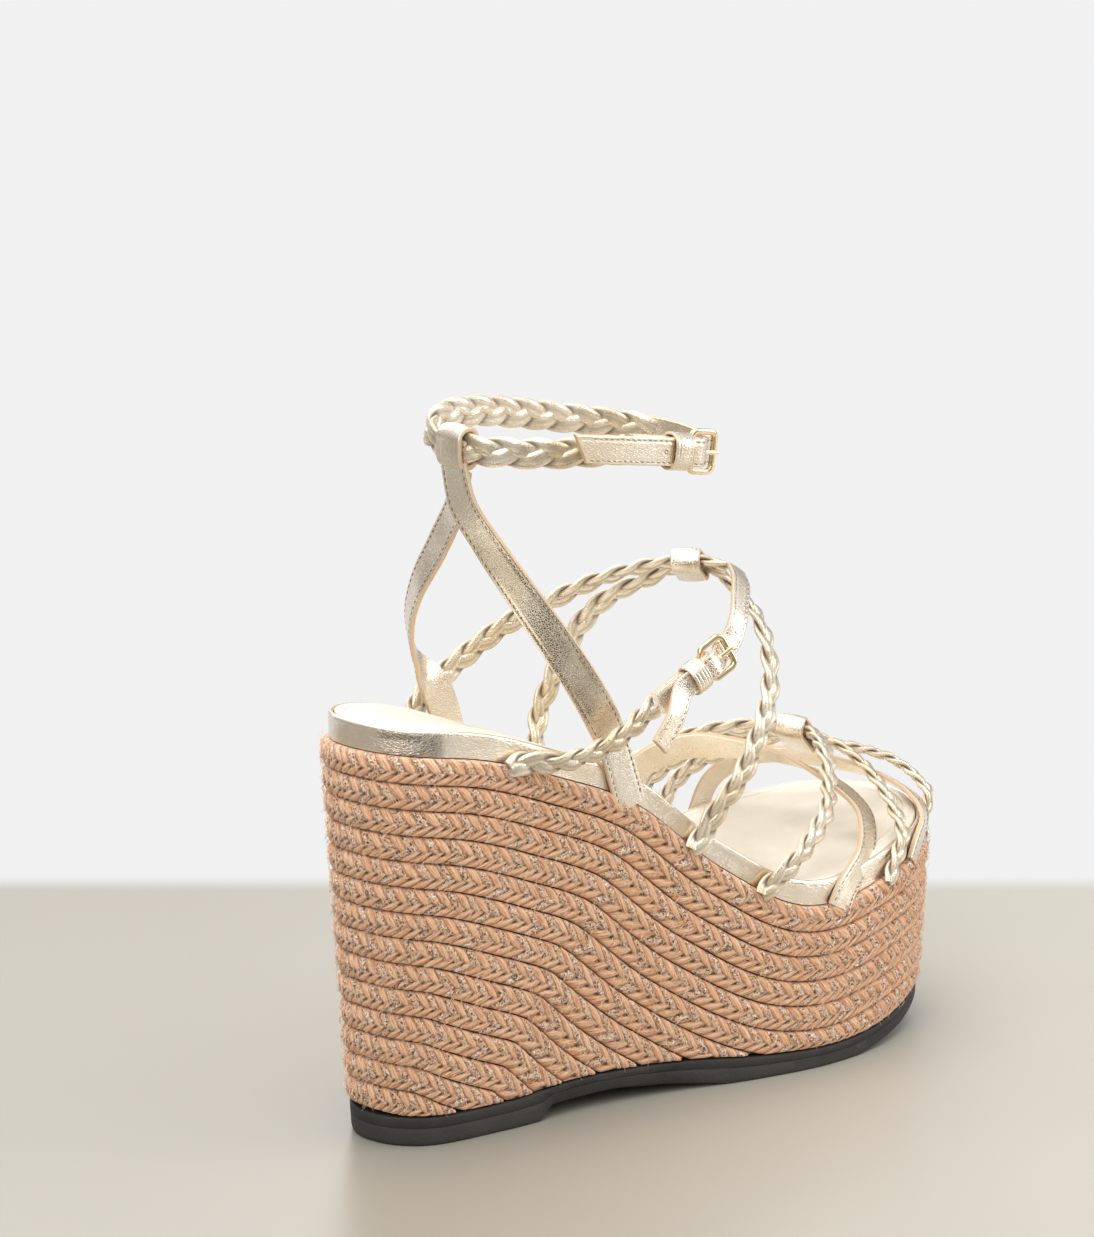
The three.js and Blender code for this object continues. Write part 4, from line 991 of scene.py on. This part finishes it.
# Each plait's width, thickness, the axis it wraps round and the stops on its route.
PLAITS = {
    "ankle_plait": (8.8, 4.0, ANKLE_AXIS, [
        at(86.6, -28, 201.9), at(73, -26.2, 202.6), at(60, -20.6, 203), at(51, -13.6, 203.6),
        within("heel_tab", 0, -6), within("heel_tab", 0, 6), at(47.6, 14.5, 205.6), at(57, 21, 208.2),
        at(77, 25.8, 206.8), at(94.4, 27.6, 203.5), at(110, 27.2, 200.2), at(124, 24.6, 197.3),
        at(133, 22, 195.4), at(138.6, 16.6, 194.2),
    ]),
    "instep_plait_back": (7.2, 3.6, FOOT_AXIS, [
        seat(OUTER, 40, -1.5, PLAIT_SEAT), seat(OUTER, 44.5, 1.6, PLAIT_SEAT - 0.6),
        at(54.5, -33.8, 113.6), at(64, -35.6, 114.6), at(76, -36.4, 117.8), at(84, -35.9, 121.4),
        at(91.2, -35.3, 125),
    ]),
    "instep_plait_top": (7.4, 3.6, FOOT_AXIS, [
        at(139.4, -14.6, 156.6), within("instep_ring", 3.95, 5.5), within("instep_ring", 3.95, -5.5),
        at(123, 7, 155), at(115, 12.6, 152.4), at(107.8, 17.8, 149), at(99.6, 23, 144.4),
        at(89.3, 28, 139.4), at(81.8, 31, 134.6), at(74.3, 33, 129.6), at(65, 34, 124),
        at(57, 32.4, 119.4), seat(INNER, 50.6, 3, PLAIT_SEAT), seat(INNER, 49, -1.5, PLAIT_SEAT),
    ]),
    "instep_plait_front": (7.4, 3.6, FOOT_AXIS, [
        seat(OUTER, 108.6, -1.5, PLAIT_SEAT), seat(OUTER, 111, 4, PLAIT_SEAT), at(116, -37.4, 90.2),
        at(121.6, -38.8, 96.5), at(126.2, -39.4, 103.2), at(129.8, -39.2, 109.5),
        at(133.6, -38.2, 115.1), at(137.2, -36.4, 121.6), at(140, -33.8, 128.4),
        at(141.8, -30, 135.4), at(143, -25.4, 141), at(143.4, -19.4, 146.2), at(143, -12.6, 150.4),
        within("instep_ring", -3.95, 5.5), within("instep_ring", -3.95, -5.5), at(129, 9.6, 150),
        at(122, 16.6, 145.4), at(118, 22, 140), at(115, 26.4, 132.9), at(112.6, 29.4, 125.6),
        at(110, 32, 117), at(107, 34, 108), seat(INNER, 101.6, 8, PLAIT_SEAT),
        seat(INNER, 99, -1.5, PLAIT_SEAT),
    ]),
    "vamp_plait": (7.2, 3.6, FOOT_AXIS, [
        seat(OUTER, 132, -1.5, PLAIT_SEAT), seat(OUTER, 135, 3, PLAIT_SEAT), at(140.8, -42, 67.6),
        at(151.9, -40, 74), at(163.4, -34.8, 81), at(170.4, -28, 85.6), at(177.6, -20, 90.4),
        at(185.8, -7.8, 93.3), within("vamp_ring", 6.2, 5.5), within("vamp_ring", 6.4, -5.5),
        at(176.6, 22, 93), at(166, 32, 89.4), at(154, 41, 82), at(146, 44.6, 70.5),
        seat(INNER, 141, 4, PLAIT_SEAT), seat(INNER, 140, -1.5, PLAIT_SEAT),
    ]),
    "toe_plait_middle": (6.0, 3.3, FOOT_AXIS, [
        seat(OUTER, 185, -1.5, PLAIT_SEAT), seat(OUTER, 188, 3, PLAIT_SEAT), at(194.4, -36.4, 66.6),
        at(197.4, -30, 72.6), at(198.6, -23, 78.6), at(198.8, -15, 84), at(197.2, -5, 89),
        within("vamp_ring", -0.4, 5.5), within("vamp_ring", -0.4, -5.5), at(184, 22.6, 90.2),
        at(176, 33, 86), at(165.6, 42.4, 78), at(158, 46.8, 68), seat(INNER, 154, 4, PLAIT_SEAT),
        seat(INNER, 153, -1.5, PLAIT_SEAT),
    ]),
    "toe_plait_front": (5.8, 3.2, FOOT_AXIS, [
        seat(OUTER, 222, -1.5, PLAIT_SEAT), seat(OUTER, 224, 3, PLAIT_SEAT), at(227.2, -14.8, 69.8),
        at(227.4, -9, 74.4), at(223.8, -3, 79.2), at(216.4, 0.8, 82.8), at(207, 3.4, 86),
        within("vamp_ring", -6.9, 5.5), within("vamp_ring", -6.9, -5.5), at(190.4, 24.6, 86),
        at(187, 34, 82), at(180, 43, 76.5), at(172.6, 47.4, 67.4), seat(INNER, 169, 4, PLAIT_SEAT),
        seat(INNER, 168, -1.5, PLAIT_SEAT),
    ]),
}


def lace_pair_section():
    """Section of one strand: two laces side by side, as a radius over the angle with a crease on
    each flat face. Across is up to 1, out is up to 1."""
    angle = np.linspace(0, 2 * np.pi, 24, endpoint=False)
    across = np.sign(np.cos(angle)) * np.abs(np.cos(angle))**0.8
    out = np.sin(angle) * (1 - 0.3 * np.exp(-(across / 0.22)**2))
    crease = np.exp(-(across / 0.25)**2) * (np.abs(np.sin(angle)) > 0.5)
    return across, out, crease


def plait(name, width, thickness, axis, stops):
    """Three strands along one route. Strand k swings across by sin(a) and dives by sin(2a), where a
    grows along the route and the strands are a third of a turn apart. `pit` is painted shade in the
    hollows between strands and along each strand's crease."""
    middle, tangent, face, side, run = follow(stops, PLAIT_STEP, axis)
    across, out, crease = lace_pair_section()
    half_wide, half_thick = 0.29 * width, 0.27 * thickness
    swing, dive = width / 2 - half_wide * 0.86, thickness / 2 - half_thick
    points, faces, dark, raw = [], [], [], []
    for k in range(3):
        angle = 2 * np.pi * (run / (TURN * width) + k / 3)
        path = (middle + side * (swing * np.sin(angle))[:, None]
                + face * (dive * np.sin(2 * angle))[:, None])
        way = unit(np.gradient(path, axis=0))
        flat = unit(np.cross(face, way))
        up = np.cross(way, flat)
        rings = (path[:, None] + flat[:, None] * (across * half_wide)[None, :, None]
                 + up[:, None] * (out * half_thick)[None, :, None])
        faces.extend(capped(rings, k * rings.shape[0] * rings.shape[1]))
        points.append(rings.reshape(-1, 3))
        # Painted shade: points near the plait's mid-plane and inside its sides lie in crevices and are
        # darkened, as is the crease between two laces.
        level = np.abs(np.einsum("nmi,ni->nm", rings - middle[:, None], face)) / thickness
        aside = np.abs(np.einsum("nmi,ni->nm", rings - middle[:, None], side)) / width
        crevice = smoothstep(0.3, 0.02, level) * smoothstep(0.5, 0.36, aside)
        dark.append(np.maximum(CREASE_SHADE * crease, CREVICE_SHADE * crevice).ravel())
        raw.append(np.tile(0.5 * smoothstep(0.9, 1.0, np.abs(across)), (len(rings), 1)).ravel())
    new_piece(name + "_strands", np.vstack(points), faces, plait_leather, node=name, slot="plait",
              pit=np.concatenate(dark), edge=np.concatenate(raw))


plait_leather = leather_material("plaited_metallic_leather", 1900.0, 600.0, 0.35, 0.24,
                                 shades=((0.80, 0.67, 0.48), (0.95, 0.87, 0.74)))
for node, (width, thickness, axis, stops) in PLAITS.items():
    plait(node, width, thickness, axis, stops)

# ------------------------------------------------------------------------------ leather rings
# Bands of strap leather sewn into hoops. One behind the heel carries the ankle plait, and one over
# the instep and one over the toes gather the plaits.
HOOP_ROUNDNESS = 0.47  # corner radius, as a share of the hoop's smaller opening
HOOP_LINES = ((1.0, 1.0), (2.1, 0.7))  # each pressed line's distance from the edge and strength


def round_rect(width, height, radius, per_corner=7, per_side=6):
    """Closed rounded rectangle: points and outward directions, starting on the right side."""
    points, away = [], []
    for k in range(4):
        turn = np.array([[math.cos(k * math.pi / 2), -math.sin(k * math.pi / 2)],
                         [math.sin(k * math.pi / 2), math.cos(k * math.pi / 2)]])
        a, b = (width / 2, height / 2) if k % 2 == 0 else (height / 2, width / 2)
        angle = np.linspace(0, math.pi / 2, per_corner)
        ray = np.column_stack([np.cos(angle), np.sin(angle)])
        side = np.linspace(-(b - radius), b - radius, per_side, endpoint=False)[1:]
        points.append(np.vstack([np.column_stack([np.full(len(side), a), side]),
                                 (a - radius, b - radius) + ray * radius]) @ turn.T)
        away.append(np.vstack([np.tile((1.0, 0.0), (len(side), 1)), ray]) @ turn.T)
    return np.vstack(points), np.vstack(away)


def hoop_wall(length, wall):
    """Section of a hoop's wall as (along, outward) points and whether each is on a raw edge. Fold
    lines are pressed into the outer face near both edges."""
    half = length / 2
    x = np.linspace(-half + 0.3, half - 0.3, 29)
    line = sum(depth * np.exp(-((half - place - np.abs(x)) / 0.22)**2) for place, depth in HOOP_LINES)
    outer = np.column_stack([x, wall / 2 - 0.14 * line - 0.12 * (x / half)**4])
    right = [(half, wall * 0.2), (half, -wall * 0.3)]
    inner = np.column_stack([np.linspace(half - 0.3, 0.3 - half, 5), np.full(5, -wall / 2)])
    left = [(-half, -wall * 0.3), (-half, wall * 0.2)]
    edge = np.r_[np.zeros(29), 1, 1, np.zeros(5), 1, 1]
    return np.vstack([outer, right, inner, left]), edge


def hoop(place, along, out, inner, wall, length, slack=0.0):
    """Rings of a leather hoop round the X axis of its own frame, and its raw edges. Slack is how
    far it swells in the middle of its length."""
    x, y, z = own_axes(along, out)
    corner = (min(inner) + wall) * HOOP_ROUNDNESS
    middle, away = round_rect(inner[0] + wall, inner[1] + wall, corner)
    section, edge = hoop_wall(length, wall)
    bulge = slack * (1 - (section[:, 0] / (length / 2))**2)
    flat = middle[:, None] + away[:, None] * (section[None, :, 1] + bulge)[..., None]
    rings = (np.array(place) + section[None, :, :1] * x
             + flat[..., :1] * y + flat[..., 1:] * z)
    return rings, np.tile(edge, (len(rings), 1))


ring_leather = leather_material("ring_leather", 1400.0, 300.0, 0.28, 0.24)
for node, (place, along, out, wide, high, wall, length) in RINGS.items():
    rings, edge = hoop(place, along, out, (wide, high), wall, length, 0.25)
    new_piece(node + "_band", rings, quads(*rings.shape[:2], True), ring_leather, node=node, edge=edge)

# -------------------------------------------------------------------------------- buckle sets
# Each closing has a strap end with punched holes, a leather fold that holds the buckle, a
# polished pale gold frame bent from one wire, a prong that turns on its bar, and a keeper.
WIRE = 1.8
BAR_HOLE = WIRE / 2 + 0.35
FOLD = 1.3
TIP_THICKNESS = 1.4
TIP_STEP = 0.9
TIP_OVER = BAR_HOLE + FOLD + 0.4 + TIP_THICKNESS / 2
SLIT = 1.4             # half the width of the prong's slit
HOLE_LIP = np.array([(0.72, -0.1), (0.62, 0.05), (0.5, 0.04), (0.42, -0.02)])  # radius and height
# `front` gives stops as x, z and slope in the buckle's own frame, whose X runs along the strap from
# the bar to the far side. `holes` are distances along the strap from the bar.
BUCKLES = {
    "ankle": dict(
        place=(111.2, -29, 198), along=(0.986, -0.04, -0.16), out=(0, -1, 0), width=8.6, tail=24,
        reach=9, keeper=-6.4, keeper_length=7.4, slant=-6.0, axis=ANKLE_AXIS,
        holes=(-34, -26, -18, 14.5),
        before=[at(133.8, 21.2, 195.2), at(139, 16, 193.8), at(140.6, 6, 193),
                at(136.4, -6, 193.4), at(128.6, -17, 194.6)],
        front=[(12.4, -7.4, 2.2), (11.4, -4.4, 1)], after=[at(66.2, -30.6, 205, (-0.3, -1, 0))]),
    "instep": dict(
        place=(110.6, -37, 134.2), along=(0.88, -0.08, 0.44), out=(0.05, -0.95, 0.3), width=7.2,
        tail=20, reach=9, keeper=-5.6, keeper_length=5.6, slant=0.0, axis=FOOT_AXIS,
        holes=(-18, 11.5),
        before=[at(141, -17.4, 156), at(138.2, -22.4, 153.6), at(132.6, -28.2, 149.6),
                at(127.2, -33, 144.8)],
        front=[(12.4, -3.4, 0.1)], after=[at(93.4, -42, 122), at(86.4, -42.8, 114.6)]),
}


def metal_material():
    """Pale gold plate, polished, with hairline scratches."""
    material, add, output = new_material("pale_gold_plate")
    place = add("TexCoord").outputs["Object"]
    stretched = add("Mapping", {"Vector": place, "Scale": (400, 4000, 900)})
    lines = add("TexNoise", {"Vector": stretched.outputs["Vector"], "Scale": 1, "Detail": 3}).outputs["Fac"]
    colour = ramp(add, lines, (0.35, (0.80, 0.62, 0.36)), (0.65, (0.93, 0.80, 0.56)))
    rough = add("MapRange", {"Value": lines, "To Min": 0.08, "To Max": 0.2}).outputs["Result"]
    bump = add("Bump", {"Height": lines, "Strength": 0.04, "Distance": 0.0001}).outputs["Normal"]
    return finish_material(material, add, output, bump, Base_Color=colour, Metallic=1.0, Roughness=rough)


gold = metal_material()


def buckle_place(buckle, points):
    """Points given in a buckle's own frame, moved to the shoe."""
    x, y, z = own_axes(buckle["along"], buckle["out"])
    points = np.asarray(points, float)
    return np.array(buckle["place"]) + points[..., :1] * x + points[..., 1:2] * y + points[..., 2:] * z


def on_buckle(buckle, x, z, slope=0.0):
    """A stop on a buckle's middle plane, and the way a strap there faces."""
    way, _, up = own_axes(buckle["along"], buckle["out"])
    return buckle_place(buckle, (x, 0, z)), tuple(unit(up + way * slope))


def tip_route(buckle):
    """Under the frame's far side, up through the frame, over the bar and back through the keeper."""
    return [
        *buckle["before"], *[on_buckle(buckle, *stop) for stop in buckle["front"]],
        on_buckle(buckle, 9, -2.8, 0.2), on_buckle(buckle, 6, -0.7, 1), on_buckle(buckle, 3.9, 1.9, 0.8),
        on_buckle(buckle, 1.2, TIP_OVER - 0.1, 0.2), on_buckle(buckle, -3, TIP_OVER),
        on_buckle(buckle, -8, TIP_OVER), on_buckle(buckle, -12, TIP_OVER), *buckle["after"],
    ]


def tip_strap(name, buckle):
    """The strap end, cut across; the ankle's is cut on the slant."""
    points, edge = band_section(buckle["width"], TIP_THICKNESS)
    rings, route = sweep(tip_route(buckle), points, TIP_STEP, buckle["axis"])
    _, tangent, _, _, run = route
    left = run[-1] - run
    lean = buckle["slant"] * smoothstep(9, 0, left)[:, None] * points[None, :, 0] / buckle["width"]
    rings = rings + lean[..., None] * tangent[:, None]
    marks = np.tile(edge, (len(rings), 1))
    marks[left < TIP_STEP / 2] = 1
    new_piece(name + "_leather", rings, capped(rings), strap_leather, node=name, edge=marks)
    stitching(name + "_stitches", route, buckle["width"], TIP_THICKNESS / 2 - STITCH_SINK,
              margin=1.05, skip=2.5)
    return route


def punched_holes(name, route, places, height):
    """Holes shown as small dishes with a pressed lip, flush with the leather, coloured near black as painted
    shade for the inside of a hole.
    """
    i = np.argmin(np.abs(route[-1][None] - places[:, None]), 1)
    middle, tangent, face, side = (rows[i][:, None] for rows in route[:-1])
    around = np.linspace(0, 2 * np.pi, 16, endpoint=False)[None, :, None]
    circle = np.cos(around) * tangent + np.sin(around) * side
    radius, up = HOLE_LIP.T[:, None, :, None, None]
    loops = (middle + face * height)[:, None] + face[:, None] * up + radius * circle[:, None]
    ends = copies([np.arange(16), np.arange(48, 64)], len(places), 64)
    new_piece(name, loops, [*copies(quads(4, 16, False), len(places), 64), *ends], hole_shade)


# Painted shade: near black, standing in for the shade inside a punched hole.
hole_shade = grained_material(
    "punched_hole_shade", 3000, 0.9, ((0.3, (0.03, 0.014, 0.008)), (0.7, (0.11, 0.05, 0.025))), detail=3)


def prism(outline, y0, y1, soft0, soft1):
    """Rings of a closed (x, z) outline pushed across from y0 to y1, drawn in a little at soft ends."""
    outline = np.asarray(outline, float)
    ahead = unit(np.roll(outline, -1, 0) - np.roll(outline, 1, 0))
    inward = np.column_stack([ahead[:, 1], -ahead[:, 0]])
    stations = [(y0, 0.22 * soft0), (y0 + 0.22, 0.0), (y1 - 0.22, 0.0), (y1, 0.22 * soft1)]
    rings = []
    for y, inset in stations:
        flat = outline + inward * inset
        rings.append(np.column_stack([flat[:, 0], np.full(len(flat), y), flat[:, 1]]))
    return np.stack(rings)


def buckle_end(name, buckle):
    """Leather folded round the bar: two layers glued together behind it, with a slit for the prong."""
    eye = BAR_HOLE + FOLD
    lean = math.asin(1.5 / eye)
    nose = np.linspace(math.pi - lean, lean - math.pi, 25)
    bore = np.linspace(math.pi * 0.9, -math.pi * 0.9, 15)
    x = np.linspace(-buckle["tail"], -eye * math.cos(lean), 16)[:-1]
    gap = 0.04
    upper = np.column_stack([x, np.full(len(x), 1.5)])
    round_outer = np.column_stack([eye * np.cos(nose), eye * np.sin(nose)])
    lower = np.column_stack([x[::-1], np.full(len(x), -1.5)])
    within_bore = np.column_stack([BAR_HOLE * np.cos(bore), BAR_HOLE * np.sin(bore)])[::-1]
    loop = np.vstack([upper, round_outer, lower, [(-buckle["tail"], -gap)], within_bore,
                      [(-buckle["tail"], gap)]])
    half = buckle["width"] / 2
    cut = -2.9
    block = np.array([(-buckle["tail"], 1.5), (cut, 1.5), (cut, -1.5), (-buckle["tail"], -1.5)])
    points, faces, marks = [], [], []
    for outline, y0, y1, soft0, soft1 in ((loop, -half, -SLIT, 1, 0), (loop, SLIT, half, 0, 1),
                                          (block, -SLIT, SLIT, 0, 0)):
        rings = prism(outline, y0, y1, soft0, soft1)
        faces.extend(capped(rings, sum(map(len, points))))
        points.append(rings.reshape(-1, 3))
        mark = np.zeros(rings.shape[:2])
        mark[0], mark[-1] = soft0, soft1
        marks.append(mark.ravel())
    new_piece(name + "_fold", buckle_place(buckle, np.vstack(points)), faces, strap_leather, node=name,
              edge=np.concatenate(marks))


def buckle_frame(name, buckle, body):
    """The wire frame: a rounded rectangle with a flattened, bevelled section."""
    opening = buckle["width"] + 1.6
    path, away = round_rect(buckle["reach"], opening + WIRE, 2.1, 9, 8)
    angle = np.linspace(0, 2 * np.pi, 20, endpoint=False)
    across = np.sign(np.cos(angle)) * np.abs(np.cos(angle))**0.62 * WIRE / 2
    up = np.sign(np.sin(angle)) * np.abs(np.sin(angle))**0.62 * WIRE / 2
    flat = path[:, None] + away[:, None] * across[None, :, None]
    own = np.concatenate([flat, np.broadcast_to(up[None, :, None], (*flat.shape[:2], 1))], 2)
    own[..., 0] += buckle["reach"] / 2
    rings = buckle_place(buckle, own)
    new_piece(name + "_wire", rings, quads(*rings.shape[:2], True), gold, body=body, node=name,
              slot="buckle_gold")


def buckle_prong(name, buckle, body):
    """A flattened wire coiled once round the bar and reaching over the frame's far side."""
    coil = np.linspace(math.radians(75), math.radians(-262), 34)
    radius = BAR_HOLE + 0.46
    loop = np.column_stack([radius * np.cos(coil), radius * np.sin(coil)])[::-1]
    reach = np.linspace(2.2, buckle["reach"] + 0.9, 14)
    drop = 1.62 - 0.14 * (reach - 2.2) / (reach[-1] - 2.2)
    path = np.vstack([loop, np.column_stack([reach, drop])])
    way = unit(np.gradient(path, axis=0))
    normal = np.column_stack([-way[:, 1], way[:, 0]])
    angle = np.linspace(0, 2 * np.pi, 12, endpoint=False)
    taper = np.interp(np.arange(len(path)), [0, 34, len(path) - 3, len(path) - 1], [1, 1, 0.8, 0.45])
    thick = np.interp(np.arange(len(path)), [0, 33, 36, len(path) - 1], [0.42, 0.42, 0.4, 0.3])
    side = 0.8 * taper[:, None] * np.sign(np.cos(angle)) * np.abs(np.cos(angle))**0.8
    lift = thick[:, None] * np.sin(angle)[None, :]
    own = np.stack([path[:, :1] + normal[:, :1] * lift, side, path[:, 1:] + normal[:, 1:] * lift], 2)
    rings = buckle_place(buckle, own)
    new_piece(name + "_wire", rings, capped(rings), gold, body=body, node=name, slot="buckle_gold")


def keeper_band(name, buckle, body):
    """The narrow loop of leather that holds the strap end down."""
    low, high = -1.5 - 0.4, TIP_OVER + TIP_THICKNESS / 2 + 0.7
    place = buckle_place(buckle, (buckle["keeper"], 0, (low + high) / 2))
    rings, edge = hoop(place, buckle["along"], buckle["out"], (buckle["width"] + 0.9, high - low), 1.0,
                       buckle["keeper_length"])
    new_piece(name + "_band", rings, quads(*rings.shape[:2], True), ring_leather, body=body, node=name,
              edge=edge)


for key, buckle in BUCKLES.items():
    route = tip_strap(key + "_tip_strap", buckle)
    middle, run = route[0], route[-1]
    bar = np.argmin(np.linalg.norm(middle - buckle_place(buckle, (1, 0, TIP_OVER)), axis=1))
    punched_holes(key + "_tip_holes", route, run[bar] + np.array(buckle["holes"]), TIP_THICKNESS / 2)
    buckle_end(key + "_buckle_end", buckle)
    buckle_frame(key + "_buckle_frame", buckle, key + "_frame")
    buckle_prong(key + "_buckle_prong", buckle, key + "_prong")
    keeper_band(key + "_keeper", buckle, key + "_keeper")
